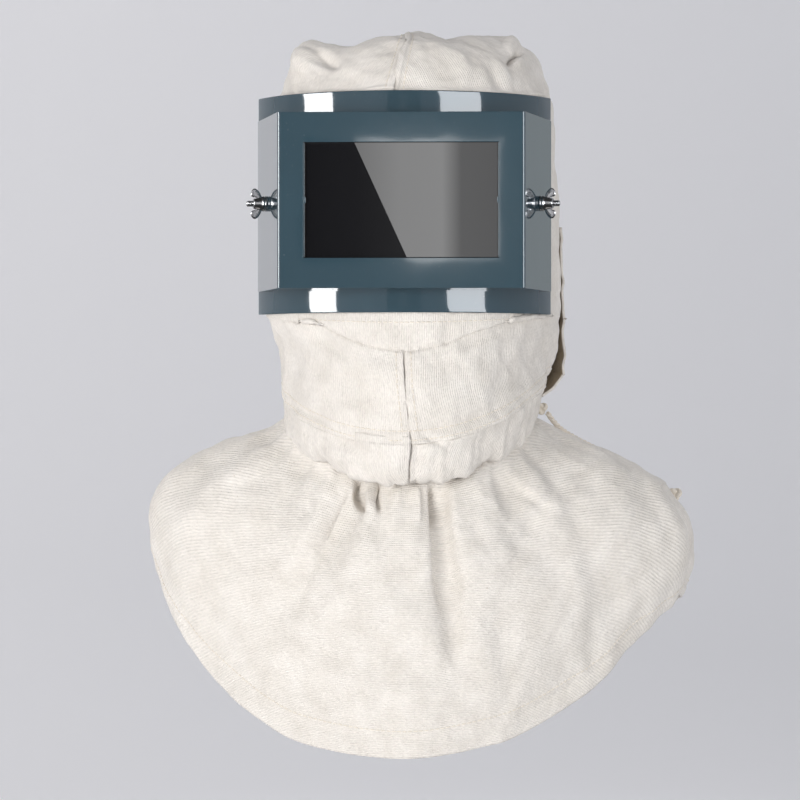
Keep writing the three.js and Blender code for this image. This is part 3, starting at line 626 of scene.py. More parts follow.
print("front of the visor line", [round(float(c), 4) for c in hood_point(0.0, 9.0)])

# %% [markdown]
# The cape hangs from the neck seam over the shoulders to the hem. Between the two, a third curve gives
# the shoulders, and each line down the cape is a quadratic curve through the three. Gathers start at
# the seam, where the cloth is drawn together, and waves grow towards the hem.

# %% The cape's lines and folds
CAPE_REACH = 225 * MM
CAPE_DROP = 220 * MM
NECK_FRONT = FRAME_FOOT - NECK_DROP
# angle, then reach and drop at the shoulder and at the hem
CAPE_OUTLINE = np.array([
    (-180, 0.62, 0.20, 0.64, 0.95),
    (-135, 0.74, 0.08, 0.80, 0.70),
    (-105, 0.95, -0.03, 0.89, 0.41),
    (-90, 1.03, -0.055, 0.90, 0.33),
    (-75, 0.93, 0.00, 0.84, 0.56),
    (-60, 0.77, 0.09, 0.73, 0.77),
    (-30, 0.64, 0.24, 0.63, 0.96),
    (0, 0.61, 0.30, 0.61, 1.00),
    (30, 0.65, 0.23, 0.635, 0.955),
    (60, 0.83, 0.10, 0.735, 0.79),
    (75, 1.05, 0.04, 0.84, 0.61),
    (90, 1.24, 0.035, 0.98, 0.48),
    (105, 1.17, 0.03, 1.01, 0.50),
    (135, 0.80, 0.10, 0.85, 0.74),
    (180, 0.62, 0.20, 0.64, 0.95),
])
# angle at the neck, lean by the hem, half-width, start and end from neck to hem, rise
CAPE_FOLDS = [
    (-17, -20, 4.0, 0.02, 0.75, -0.60),
    (-9, -5, 3.0, 0.02, 0.35, -0.40),
    (6, 2, 3.0, 0.02, 0.45, -0.35),
    (13, 6, 3.5, 0.02, 0.85, -0.65),
    (40, 14, 6.0, 0.05, 0.80, -0.50),
    (62, 4, 5.0, 0.02, 0.50, -0.35),
    (-48, -8, 7.0, 0.05, 0.70, -0.35),
    (-75, -2, 6.0, 0.02, 0.45, -0.25),
    (88, 4, 4.5, 0.45, 1.35, -1.10),
    (118, 4, 8.0, 0.05, 1.30, -0.60),
    (146, 6, 7.0, 0.05, 1.30, -0.80),
    (172, 2, 7.0, 0.05, 1.30, -0.70),
    (-160, -4, 7.0, 0.05, 1.30, -0.80),
    (-130, -6, 8.0, 0.05, 1.30, -0.70),
    (-104, -2, 6.0, 0.05, 1.20, -0.50),
]


def cape_fold_rise(angle, t):
    """The sum of the cape's folds: rise * sin(pi sqrt(share of its length)) * bell(across it)."""
    total = np.zeros(np.broadcast(angle, t).shape)
    for at, lean, width, start, end, rise in CAPE_FOLDS:
        share = (t - start) / (end - start)
        inside = (share > 0) & (share < 1)
        fade = np.where(inside, np.sin(math.pi * np.sqrt(np.clip(share, 0, 1))), 0)
        aside = (angle - at - lean * t + 540) % 360 - 180
        total += rise * FOLD_DEPTH * fade * bell(aside, width)
    return total


def cape_sheet(angle, t):
    """(1-t)^2 * neck + 2 t (1-t) * shoulder + t^2 * hem, at each angle."""
    angle, t = np.broadcast_arrays(np.asarray(angle, float), np.asarray(t, float))
    neck = hood_point(angle, ROW["neck_seam"]) - np.array([0, 0, 2 * GAP])
    columns = [ring_curve_at(CAPE_OUTLINE[:, 0], CAPE_OUTLINE[:, k], angle) for k in range(1, 5)]
    sin, cos = np.sin(np.radians(angle)), np.cos(np.radians(angle))

    def ring(reach, drop):
        r = CAPE_REACH * reach
        return np.stack([r * sin, -r * cos, NECK_FRONT - CAPE_DROP * drop], axis=-1)

    t = t[..., None]
    shoulder, hem = ring(columns[0], columns[1]), ring(columns[2], columns[3])
    return (1 - t) ** 2 * neck + 2 * t * (1 - t) * shoulder + t**2 * hem


def cape_point(angle, t):
    """A point of the cape's outer face: the sheet, moved along its normal by the folds."""
    point = cape_sheet(angle, t)
    down = cape_sheet(angle, t + 0.01) - point
    along = cape_sheet(angle + 1, t) - point
    return point + unit(np.cross(down, along)) * cape_fold_rise(angle, t)[..., None]


print("hem at the front", [round(float(c), 4) for c in cape_point(np.array(0.0), np.array(1.0))])

# %% [markdown]
# ## Cloth panels
# Heavy canvas doesn't drape in soft waves alone. It crumples into shallow facets with creases between
# them. The helpers here add that relief to a smooth panel: slow waves, sharper crumples, and single
# creases where the real hood has them. All of it moves points along the surface's own normals.


# %% Relief helpers
def waves(points, seed, longest, shortest, depth, layers=10, sharp=0.0):
    """A sum of sine waves in seeded directions, from the longest to the shortest, each as high as it is
    long. Every wave's phase is bent by a slower wave. A sharp share turns sines into ridges, 1 - 2|sin|."""
    draws = np.random.default_rng(seed)
    total, weight = np.zeros(points.shape[:-1]), 0.0
    for length in np.geomspace(longest, shortest, layers):
        direction, bend = unit(draws.normal(size=3)), unit(draws.normal(size=3))
        start, other = draws.uniform(0, 2 * math.pi, 2)
        slow = np.sin(2 * math.pi / (2.3 * length) * (points @ bend) + other)
        phase = 2 * math.pi / length * (points @ direction) + 1.5 * slow + start
        wave = (1 - sharp) * np.sin(phase) + sharp * (1 - 2 * np.abs(np.sin(phase / 2)))
        total += length * wave
        weight += length
    return depth * total / weight * math.sqrt(layers)


def crease_rise(points, creases):
    """Creases seen from in front: each is a straight run from (x, z) to (x, z) in millimetres, with a
    half-width and a rise. The rise falls off as a bell with the distance from the run. Points behind
    the ears are left as they are."""
    flat = points[..., [0, 2]] / MM
    total = np.zeros(points.shape[:-1])
    for x0, z0, x1, z1, width, rise in creases:
        start, run = np.array([x0, z0]), np.array([x1 - x0, z1 - z0])
        share = np.clip((flat - start) @ run / (run @ run), 0, 1)
        distance = np.linalg.norm(flat - start - share[..., None] * run, axis=-1)
        taper = np.sqrt(np.clip(4 * share * (1 - share), 0.08, 1))
        total += rise * MM * taper * bell(distance, width)
    return total * ease(-points[..., 1] / MM, 10, 40)


def arc_lengths(points, axis):
    """The distance walked along the grid's rows (axis 1) or down its columns (axis 0)."""
    step = np.linalg.norm(np.diff(points, axis=axis), axis=-1)
    start = np.zeros_like(np.take(step, [0], axis=axis))
    return np.concatenate([start, np.cumsum(step, axis=axis)], axis=axis)


def weld(piece, distance=1e-6):
    """Points that share a place become one, which closes poles and the join of a ring."""
    work = bmesh.new()
    work.from_mesh(piece.data)
    bmesh.ops.remove_doubles(work, verts=work.verts, dist=distance)
    work.to_mesh(piece.data)
    work.free()


panels = {}


def make_panel(name, base, rise, cad_nodes, keep=None, ring=False, pole=False, flat=None,
               inside_shade=None):
    """A cloth panel from a grid of base points and a grid of rises along its normals. It is given its
    thickness inwards, and a UV map that is the base grid laid flat. The ribs of its weave
    run down it, or across its flat pattern if one is given."""
    normals = grid_normals(base)
    if ring:
        ends = unit(np.cross(np.gradient(base, axis=0)[:, 0], base[:, 1] - base[:, -2]))
        normals[:, 0] = normals[:, -1] = ends
        rise[:, 0] = rise[:, -1] = (rise[:, 0] + rise[:, -1]) / 2
    if pole:
        normals[0] = (0, 0, 1)
        rise[0] = rise[0].mean()
    final = base + normals * rise[..., None]
    rows, columns = base.shape[:2]
    along, down = arc_lengths(base, 1), arc_lengths(base, 0)
    uv = np.stack([-down, along - along[:, [columns // 2]]], axis=-1) if flat is None else flat
    faces = grid_faces(rows, columns, keep=keep)
    points, faces, uv = loose_vertices_removed(final, faces, uv)
    piece = make_object(name, points, faces, canvas, uv)
    weld(piece)
    solid = piece.modifiers.new("wall", "SOLIDIFY")
    solid.thickness = CLOTH
    solid.offset = -1
    # Painted shade: the inner faces can take a second, darker copy of the canvas.
    if inside_shade:
        piece.data.materials.append(inside_shade)
        solid.material_offset = 1
    finish_piece(piece, nodes=cad_nodes)
    panels[name] = (final, grid_normals(final))
    return piece


# %% [markdown]
# ## Hood halves
# Two halves of canvas meet in a seam that runs over the crown from the visor to the back of the neck.
# The right half laps over the left one, so its edge stands up as a narrow welt. The visor's opening is
# cut out of both halves, so the cells behind it are left out of the grid.

# %% Creases and the seam welt
# from x, z to x, z, half-width, rise
CROWN_CREASES = [
    (-82, -30, -78, -6, 6.5, 7.5),
    (80, 1, 88, -6, 6.0, 4.0),
    (-72, -8, -50, -24, 4.0, -4.2),
    (-78, -17, -54, -30, 3.0, 2.4),
    (-52, -30, -40, -40, 6.0, -0.8),
    (82, -21, 86, -14, 1.6, -7.0),
    (85, -15, 92, -9, 1.6, -7.0),
    (87, -22, 95, -13, 3.0, 2.2),
    (66, -22, 78, -44, 4.5, -3.6),
    (74, -18, 86, -42, 4.0, 1.2),
    (-86, -40, -85, -47, 1.5, -2.2),
    (10, -10, 20, -24, 5.0, 1.2),
    (26, -10, 40, -36, 6.0, -1.0),
    (-20, -14, -30, -38, 7.0, 0.7),
]
NECK_CREASES = [
    (-72, -232, -42, -250, 5.0, -3.2),
    (-60, -222, -32, -241, 5.0, 1.8),
    (-52, -262, -20, -282, 7.0, -1.8),
    (-84, -262, -60, -280, 6.0, 1.5),
    (46, -240, 82, -226, 5.0, -3.2),
    (28, -250, 64, -242, 5.0, 1.6),
    (16, -272, 44, -262, 7.0, -1.8),
    (50, -268, 84, -252, 6.0, 1.6),
    (-88, -286, -62, -300, 3.0, -3.2),
    (-80, -278, -56, -294, 4.0, 1.8),
    (74, -284, 44, -304, 3.0, -1.8),
    (40, -304, 10, -309, 3.0, -1.8),
    (36, -320, 16, -310, 2.4, -3.6),
    (76, -296, 30, -318, 4.0, 1.8),
    (-50, -312, -26, -328, 5.0, -2.4),
]
WELT_WIDTH = 1.9 * MM
LAP_STITCH = 5.5 * MM


def spaced(stops):
    """Evenly spaced numbers through (start, end, count) runs, with shared ends once."""
    runs = [np.linspace(a, b, count + 1)[:-1] for a, b, count in stops]
    return np.concatenate([*runs, [stops[-1][1]]])


LAP_OVER = 1.2
HALF_ANGLES = spaced([(0, 3, 7), (3, VIEW_HALF_ANGLE, 30), (VIEW_HALF_ANGLE, 177, 100), (177, 180, 7)])
HOOD_ROWS = spaced([(0, 1, 12), (1, 7, 76), (7, 12, 60), (12, 12.2, 8), (12.2, 13.7, 34), (13.7, 14, 14)])


def behind_band(angle, v):
    """1 where the canvas lies inside the visor's band, so that no relief may push it outwards."""
    side = 1 - ease(np.abs(angle), 66, 70)
    return side * ease(v, 6.6, 7.0) * (1 - ease(v, 11.1, 11.5))


def hood_relief(points, angle, v, seed):
    """Slow waves and sharp crumples, weaker where the visor's band holds the cloth, plus the creases."""
    rise = waves(points, seed, 70 * MM, 16 * MM, 1.2 * MM)
    rise += waves(points, seed + 1, 34 * MM, 9 * MM, 0.8 * MM, sharp=0.8)
    rise += crease_rise(points, CROWN_CREASES + NECK_CREASES)
    held = behind_band(angle, v)
    return rise * (1 - held) + np.minimum(rise, 0) * held


def welt(angle, side, radius):
    """The lap of the centre seam: the right half runs a little past the middle on top of the left one
    and stands up like a cord, and a shallow groove runs along the stitches beside it."""
    over = side * np.where(np.abs(angle) > 90, np.sign(angle) * 180 - angle, angle)
    distance = np.radians(over) * radius
    edge = 1 - ease(distance, WELT_WIDTH, 1.8 * WELT_WIDTH) if side > 0 else bell(distance, 1.5 * MM)
    return (1.6 if side > 0 else -0.4) * MM * edge - 0.35 * MM * bell(distance - LAP_STITCH, 1.2 * MM)


def gathers(angle, seed, count):
    """Upright gathers round the neck: a few sines in the angle, near count to the turn, whose phases
    wander, so that no two gathers are alike."""
    draws = np.random.default_rng(seed)
    total = np.zeros(angle.shape)
    for share in (0.55, 0.8, 1.0, 1.35):
        start, other = draws.uniform(0, 2 * math.pi, 2)
        wander = 1.4 * np.sin(np.radians(angle) * 5 * share + other)
        total += np.sin(np.radians(angle) * round(count * share) + wander + start)
    return total / 2


def pucker(angle, seed, count):
    """Short uneven puckers along a seam, from -1 to 1."""
    return np.clip(gathers(angle, seed, count), -1, 1)


def chin_dip(angle, v):
    """The puckered valley along the chin seam."""
    front = 1 - ease(np.abs(angle), VIEW_HALF_ANGLE - 6, VIEW_HALF_ANGLE + 4)
    middle = 0.55 + 0.9 * bell(angle + 2, 22)
    return front * bell(v - 12, 0.10) * MM * middle * (-1.3 + 0.8 * pucker(angle, 8, 95))


def lapped(angles, side):
    """The right half's angles run a little past the middle at both ends."""
    if side < 0:
        return -angles[::-1]
    return np.concatenate([[-LAP_OVER, -0.01], angles, [180.01, 180 + LAP_OVER]])


def neck_seam(angle, side):
    """On the neck the two halves butt: their edges roll in, and the right one's lap lies underneath."""
    over = side * np.where(np.abs(angle) > 90, np.sign(angle) * 180 - angle, angle)
    return MM * (-0.35 * (over < -1e-4) - 0.1 * bell(over, 0.4))


def make_hood_half(side):
    """One half, from the centre seam in front round to the one at the back, and down to the neck. Its
    edge is rolled in along the chin seam, and stands up as a hem over the casing."""
    name = "left" if side < 0 else "right"
    angles = lapped(HALF_ANGLES, side)
    angle, v = np.meshgrid(angles, HOOD_ROWS)
    base = hood_point(angle, v) + np.array([side * SEAM_GAP / 2, 0, 0])
    radius = np.maximum(np.linalg.norm(base[..., :2], axis=-1), 10 * MM)
    rise = hood_relief(base, angle, v, 11 if side < 0 else 21)
    on_neck = ease(v, 10.0, 11.0)
    lap = welt(angle, side, radius) * ease(v, 0.2, 1.0) * (1 - on_neck)
    rise += lap * (1 - behind_band(angle, v) * (side > 0)) + neck_seam(angle, side) * on_neck
    rise += chin_dip(angle, v)
    hem = ease(angle, -25, 25)
    rise += MM * ((0.2 + 0.4 * hem) * ease(v, 13.72, 13.8) - (0.15 + 0.45 * hem) * bell(v - 13.72, 0.035))
    rise += MM * (0.3 * pucker(angle, 9, 80) * bell(v - 13.8, 0.12) - 0.3 * bell(v - 13.9, 0.03))
    middle_angle = (angles[1:] + angles[:-1]) / 2
    middle_row = (HOOD_ROWS[1:] + HOOD_ROWS[:-1]) / 2
    beside = np.abs(middle_angle)[None, :] > VIEW_HALF_ANGLE
    above = (middle_row < ROW["view_top"])[:, None]
    below = (middle_row > ROW["chin_seam"])[:, None]
    return make_panel(
        f"canvas_half_{name}", base, rise, [f"hood_{name}"],
        keep=beside | above | below, pole=True,
    )


hood_halves = [make_hood_half(-1), make_hood_half(1)]

# %% [markdown]
# ## Chin piece and casings
# A short band of canvas closes the front under the visor. Below it the two casings pull the neck in:
# a cord runs inside them, so their cloth bunches into upright gathers just above the cape.


# %% Chin piece
def make_chin_piece():
    """The band under the visor, from the view opening's foot to the chin seam. Its edges run on under
    the two halves, a little further in."""
    rows = spaced([(ROW["view_foot"], ROW["frame_foot"], 14), (ROW["frame_foot"], 12, 12), (12, 12.3, 5)])
    inner = np.linspace(-VIEW_HALF_ANGLE, VIEW_HALF_ANGLE, 85)
    angle, v = np.meshgrid(np.concatenate([[-45, -43.5], inner, [43.5, 45]]), rows)
    base = hood_point(angle, v)
    to_right = ease(angle, -20, 20)
    rise = hood_relief(base, angle, v, 11) * (1 - to_right) + hood_relief(base, angle, v, 21) * to_right
    tucked = np.maximum(ease(np.abs(angle), 41.6, 42.4), ease(v, 11.985, 12.03))
    rise += chin_dip(angle, v) - 0.8 * MM * tucked
    return make_panel("chin_piece", base, rise, ["chin_gusset"])


def make_casing(side):
    """The gathered neck from under the hood's hem to the neck seam, one half of it."""
    name = "left" if side < 0 else "right"
    angles = lapped(spaced([(0, 4, 6), (4, 176, 150), (176, 180, 6)]), side)
    angle, v = np.meshgrid(angles, spaced([(13.8, 14.1, 8), (14.1, 17, 50), (17, 18, 10)]))
    base = hood_point(angle, v) + np.array([side * SEAM_GAP / 2, 0, 0])
    rise = hood_relief(base, angle, v, 41 if side < 0 else 51)
    rise += 1.3 * MM * gathers(angle, 5, 34) * ease(v, 14.4, 16.4) * (1 - ease(v, 17.2, 17.9))
    rise += 0.5 * MM * gathers(angle, 7, 90) * ease(v, 13.9, 14.2) * (1 - ease(v, 17.2, 17.9))
    rise += neck_seam(angle, side)
    rise -= 1.1 * MM * (1 - ease(v, 13.97, 14.03))
    rise = np.where(v > 17, np.clip(rise, -0.6 * MM, 0.3 * MM), rise)
    return make_panel(f"neck_casing_{name}", base, rise, [f"casing_{name}"])


chin_piece = make_chin_piece()
casings = [make_casing(-1), make_casing(1)]

# %% [markdown]
# ## The cape
# The cape is one wide sheet sewn to the neck. It lies on the shoulders and hangs to a turned hem. Near
# the seam small gathers fan out, on the front two long folds run down from them, and the hem is two
# layers thick for its last centimetre.

# %% The cape
CAPE_CREASES = [
    (-35, -342, -32, -368, 2.6, -12.0),
    (-20, -346, -18, -368, 2.0, -9.0),
    (22, -348, 25, -376, 2.6, -12.0),
    (11, -348, 13, -376, 3.0, 3.0),
    (-27, -344, -25, -368, 2.6, 3.0),
    (40, -342, 52, -336, 2.5, -3.0),
    (-38, -350, -66, -404, 9.0, -9.0),
    (-60, -388, -94, -452, 12.0, -8.0),
    (-50, -352, -84, -404, 8.0, 3.0),
    (25, -356, 33, -424, 7.0, -7.0),
    (32, -404, 42, -486, 10.0, -6.0),
    (14, -356, 14, -400, 5.0, 1.8),
    (-18, -356, -34, -404, 6.0, 1.8),
    (60, -352, 104, -396, 5.0, 1.6),
    (86, -350, 120, -372, 4.0, -2.4),
    (92, -388, 122, -346, 3.5, -2.4),
    (104, -392, 134, -352, 4.0, 1.6),
    (122, -344, 152, -330, 4.0, -1.8),
    (-96, -344, -140, -352, 6.0, -1.2),
    (-120, -352, -168, -372, 5.0, 1.0),
    (-150, -400, -176, -470, 6.0, -1.2),
]
HEM_FOLD = 0.955
FLAT_SHARE = 0.75
CAPE_ANGLES = np.concatenate([np.linspace(-180, -40, 130)[:-1], np.linspace(-40, 40, 181)[:-1],
                              np.linspace(40, 180, 130)])
CAPE_ROWS = spaced([(0, 0.2, 26), (0.2, 0.92, 62), (0.92, 1, 14)])


def make_cape():
    """The cape's sheet with its gathers, crumples, creases and a turned hem. Its flat pattern is the
    sheet unrolled round the neck: (d sin ka, d cos ka), with d the way walked down from the neck and k
    the share of a full turn that the flat cloth takes up."""
    angle, t = np.meshgrid(CAPE_ANGLES, CAPE_ROWS)
    base = cape_point(angle, t)
    rise = waves(base, 61, 90 * MM, 22 * MM, 1.5 * MM)
    rise += waves(base, 62, 42 * MM, 10 * MM, 0.6 * MM, sharp=0.8)
    rise *= ease(t, 0.0, 0.12)
    rise += crease_rise(base, CAPE_CREASES) * ease(t, 0.0, 0.01)
    rise += 1.2 * MM * gathers(angle, 6, 40) * ease(t, 0.0, 0.04) * np.exp(-t / 0.16)
    rise += 7 * MM * ease(np.abs(angle), 22, 40) * (1 - ease(np.abs(angle), 100, 130)) * bell(t - 0.035, 0.05)
    rise += 0.7 * MM * ease(t, HEM_FOLD - 0.004, HEM_FOLD + 0.004) - 0.5 * MM * bell(t - HEM_FOLD, 0.008)
    walked = arc_lengths(base, 0) + 75 * MM
    turn = np.radians(FLAT_SHARE * angle)
    flat = walked[..., None] * np.stack([np.sin(turn), np.cos(turn)], axis=-1)
    return make_panel("shoulder_cape", base, rise, ["cape"],
                      ring=True, flat=flat)


cape = make_cape()

# %% [markdown]
# ## The back flap
# The back of the hood laps over itself on the right, and the lap's free edge stands off above the tie.
# Seen from in front, its inside shows beside the neck, painted darker and browner than the outside as painted
# shade.

# %% The back flap
# section number, stand-off of the free edge
FLAP_EDGE = np.array([
    (9.20, 0.08),
    (10.60, 0.12),
    (12.20, 0.22),
    (13.20, 0.55),
    (13.80, 1.00),
    (14.40, 0.72),
    (14.95, 0.10),
])
FLAP_FROM = 96
FLAP_TO = 132
FLAP_BULGE = 14 * MM


def flap_point(angle, v):
    """A hood point moved out by the hood's wall and gap, and by bulge * stand(v) * (share to the free
    edge) to the power 1.5."""
    point = hood_point(angle, v)
    out = unit(np.cross(hood_point(angle, v + 0.05) - point, hood_point(angle + 0.05, v) - point))
    lift = np.clip((FLAP_TO - angle) / (FLAP_TO - FLAP_FROM), 0, None) ** 1.5
    stand = curve_at(FLAP_EDGE[:, 0], FLAP_EDGE[:, 1], v)
    return point + out * (SEAM_GAP + GAP + CLOTH + FLAP_BULGE * stand * lift)[..., None]


def make_flap():
    """The lap with a folded edge and a soft ripple where it stands off."""
    angle, v = np.meshgrid(
        np.linspace(FLAP_FROM, FLAP_TO, 34), np.linspace(FLAP_EDGE[0, 0], FLAP_EDGE[-1, 0], 120)
    )
    base = flap_point(angle, v)
    free = 1 - ease(angle, FLAP_FROM, FLAP_TO)
    rise = waves(base, 71, 40 * MM, 10 * MM, 0.7 * MM) * (0.3 + free)
    rise += 0.5 * MM * bell(angle - FLAP_FROM - 1.5, 1.2)
    # Its inner faces take the darker, browner canvas: painted shade.
    return make_panel("lapped_flap", np.asarray(base), np.maximum(rise, -0.3 * MM), ["back_flap"],
                      inside_shade=painted_shade_canvas)


flap = make_flap()

# %% [markdown]
# ## The visor
# The plastic visor is a curved band that carries a flat seat for the pane, and a box-shaped cover that
# two wing nuts clamp over it. A glossy surface shows every facet, so the band is worked out in steps of
# one degree, and edges get small rounded bevels that catch the light as the real moulding does.

# %% Sizes of the visor
FRAME_WALL = 2.5 * MM
FRAME_HALF_ANGLE = 66
FRAME_INNER = FACE_RADIUS + GAP + SEAM_GAP / 2
FRAME_OUTER = FRAME_INNER + FRAME_WALL
VISOR_MIDDLE = -CROWN_DROP - FRAME_HEIGHT / 2
SEAT_WIDTH, SEAT_HEIGHT, SEAT_WALL = 160 * MM, 100 * MM, 4 * MM
COVER_WALL, COVER_STAND_OFF = 3 * MM, 17 * MM
COVER_HEIGHT, COVER_FRONT_WIDTH, COVER_EDGE = 134 * MM, 188 * MM, 2.5 * MM
WINDOW_WIDTH, WINDOW_HEIGHT = 149 * MM, 88 * MM
PANE = 3 * MM
BOLT_RADIUS, BOLT_STICK_OUT, BOLT_ALONG = 2.5 * MM, 15.5 * MM, 0.57
TAB_WIDTH, TAB_HEIGHT, TAB_WALL = 22 * MM, 26 * MM, 3 * MM
COVER_FRONT = -(FRAME_OUTER + COVER_STAND_OFF)
GLASS_FRONT = COVER_FRONT + COVER_WALL + GAP
SEAT_FRONT = GLASS_FRONT + PANE + GAP


def arc(radius, angles):
    """Points on a circle in plan: (r sin a, -r cos a), with a in degrees from the front."""
    a = np.radians(np.asarray(angles, float))
    return np.stack([radius * np.sin(a), -radius * np.cos(a)], axis=-1)


def prism(outline, bottom, top):
    """A closed upright solid over an outline in plan, as points and faces."""
    count = len(outline)
    points = np.concatenate([
        np.column_stack([outline, np.full(count, bottom)]), np.column_stack([outline, np.full(count, top)]),
    ])
    ring = np.arange(count)
    after = (ring + 1) % count
    sides = np.stack([ring, after, after + count, ring + count], axis=1).tolist()
    return points, [ring[::-1].tolist(), (ring + count).tolist(), *sides]


def solid_object(name, parts, material=None):
    """One object from several (points, faces) solids, with its faces turned outwards."""
    points = np.concatenate([p for p, f in parts])
    starts = np.cumsum([0] + [len(p) for p, f in parts[:-1]])
    faces = [[int(k) + int(s) for k in face] for (p, fs), s in zip(parts, starts) for face in fs]
    made = make_object(name, points, faces, material or plastic)
    work = bmesh.new()
    work.from_mesh(made.data)
    bmesh.ops.recalc_face_normals(work, faces=work.faces)
    work.to_mesh(made.data)
    work.free()
    return made


def cut(piece, parts, operation="DIFFERENCE"):
    """Takes the parts away from the piece, or joins them to it, and keeps the result as its mesh."""
    cutter = solid_object("cutter", parts)
    made = piece.modifiers.new("cut", "BOOLEAN")
    made.operation, made.solver, made.object = operation, "EXACT", cutter
    result = bpy.data.meshes.new_from_object(piece.evaluated_get(bpy.context.evaluated_depsgraph_get()))
    piece.modifiers.clear()
    piece.data = result
    bpy.data.objects.remove(cutter)
    return piece


def rounded(piece, width, segments=3, angle=35):
    """A small bevel on edges sharper than the angle, and normals that keep the flat faces flat."""
    bevel = piece.modifiers.new("edges", "BEVEL")
    bevel.width, bevel.segments = width, segments
    bevel.limit_method, bevel.angle_limit = "ANGLE", math.radians(angle)
    bevel.harden_normals = False
    piece.data.polygons.foreach_set("use_smooth", [True] * len(piece.data.polygons))
    piece.modifiers.new("flat_faces", "WEIGHTED_NORMAL").keep_sharp = True
    return piece


def box_part(x0, x1, y0, y1, z0, z1):
    """A box as a prism."""
    return prism(np.array([(x0, y0), (x1, y0), (x1, y1), (x0, y1)]), z0, z1)


print("visor middle", VISOR_MIDDLE, "cover front", round(COVER_FRONT, 4))

# %% [markdown]
# The cover's side walls slant back from its front corners to the ends of the band, and the bolts stand
# square to them. A frame of axes at each bolt makes the tabs, bolts, washers and nuts easy to place:
# its third axis points out of the wall, its second up, and its first forwards along the wall.

# %% The side walls and the bolt frames
CORNER_FRONT = np.array([COVER_FRONT_WIDTH / 2, COVER_FRONT])
CORNER_REAR = arc(FRAME_OUTER + 1.2 * MM, FRAME_HALF_ANGLE - 1)
WALL_RUN = CORNER_REAR - CORNER_FRONT
WALL_LENGTH = float(np.linalg.norm(WALL_RUN))
BOLT_PLACE = CORNER_FRONT + BOLT_ALONG * WALL_RUN
BOLT_TURN = math.atan2(WALL_RUN[1], WALL_RUN[0]) - math.pi / 2


def side_frame(side):
    """The bolt's frame on the left (-1) or right (1) wall, as a rotation and an origin."""
    out = np.array([side * math.cos(BOLT_TURN), math.sin(BOLT_TURN), 0])
    up = np.array([0.0, 0, 1])
    axes = np.stack([np.cross(up, out), up, out], axis=1)
    return axes, np.array([side * BOLT_PLACE[0], BOLT_PLACE[1], VISOR_MIDDLE])


def placed(points, side, height=0.0):
    """Points of a part drawn on the bolt's axis, moved to the wall."""
    axes, origin = side_frame(side)
    return (np.asarray(points) + np.array([0, 0, height])) @ axes.T + origin


def turned(profile, sides=48):
    """A lathe: (radius, height) pairs turned round the height axis, as a grid of points."""
    turn = np.linspace(0, 2 * math.pi, sides, endpoint=False)
    r, z = np.asarray(profile, float).T[:, :, None]
    return np.stack([r * np.cos(turn), r * np.sin(turn), z + 0 * turn], axis=-1)


def turned_part(profile, side, height=0.0, sides=48, closed=True):
    """A lathe solid at the wall, from a profile that closes on itself or ends on the axis."""
    grid = turned(profile, sides)
    faces = grid_faces(len(profile), sides, closed=True)
    if closed:
        last = (len(profile) - 1) * sides
        ring = np.arange(sides)
        after = (ring + 1) % sides
        faces = np.concatenate([faces, np.stack([last + ring, ring, after, last + after], axis=1)])
    return placed(grid.reshape(-1, 3), side, height), faces.tolist()


def bolt_hole(side):
    """A round cutter through the wall and the tab."""
    reach = 14 * MM
    ring = arc(BOLT_RADIUS + GAP, np.linspace(0, 360, 48, endpoint=False))
    points, faces = prism(ring, -reach, reach)
    return placed(points, side), faces


print("bolt at", [round(float(x), 4) for x in side_frame(1)[1]])

# %% [markdown]
# The band is a grid of one-degree strips with its view opening left out, given its thickness inwards.
# The seat, which carries the pane in front of the opening, and the two bolt tabs are parts of the same
# moulding.


# %% Band, seat and tabs
def make_visor_band():
    """The curved band: (r sin a, -r cos a, z) at the outer radius, without the view opening's cells."""
    view_x = SEAT_WIDTH / 2 - SEAT_WALL
    view_angle = math.degrees(math.asin(view_x / FRAME_OUTER))
    view_z = SEAT_HEIGHT / 2 - SEAT_WALL
    half = FRAME_HEIGHT / 2
    side_run = (view_angle, FRAME_HALF_ANGLE, 30)
    angles = spaced([(-FRAME_HALF_ANGLE, -view_angle, 30), (-view_angle, view_angle, 76), side_run])
    heights = spaced([(half, view_z, 8), (view_z, -view_z, 18), (-view_z, -half, 8)]) + VISOR_MIDDLE
    angle, z = np.meshgrid(angles, heights)
    xy = arc(FRAME_OUTER, angle)
    points = np.concatenate([xy, z[..., None]], axis=-1)
    open_cell = (np.abs(angles[1:] + angles[:-1]) / 2 < view_angle)[None, :]
    open_cell = open_cell & (np.abs((heights[1:] + heights[:-1]) / 2 - VISOR_MIDDLE) < view_z)[:, None]
    faces = grid_faces(len(heights), len(angles), keep=~open_cell)
    points, faces, _ = loose_vertices_removed(points, faces)
    band = make_object("visor_band", points, faces, plastic)
    wall = band.modifiers.new("wall", "SOLIDIFY")
    wall.thickness, wall.offset = FRAME_WALL, -1
    rounded(band, 0.7 * MM, angle=50)
    return finish_piece(band, nodes=["visor_frame"])


def make_seat():
    """Four walls round the view opening: two follow the band's arc at the back, two are straight."""
    half_width, half_height = SEAT_WIDTH / 2, SEAT_HEIGHT / 2
    edge = math.degrees(math.asin(half_width / FRAME_OUTER))
    back = arc(FRAME_OUTER - 1 * MM, np.linspace(edge, -edge, 60))
    outline = np.concatenate([[(-half_width, SEAT_FRONT), (half_width, SEAT_FRONT)], back])
    outer = prism(outline, VISOR_MIDDLE - half_height, VISOR_MIDDLE + half_height)
    seat = solid_object("glass_seat", [outer])
    view_x, view_z = half_width - SEAT_WALL, half_height - SEAT_WALL
    cut(seat, [box_part(-view_x, view_x, -0.2, 0, VISOR_MIDDLE - view_z, VISOR_MIDDLE + view_z)])
    return finish_piece(rounded(seat, 0.5 * MM))


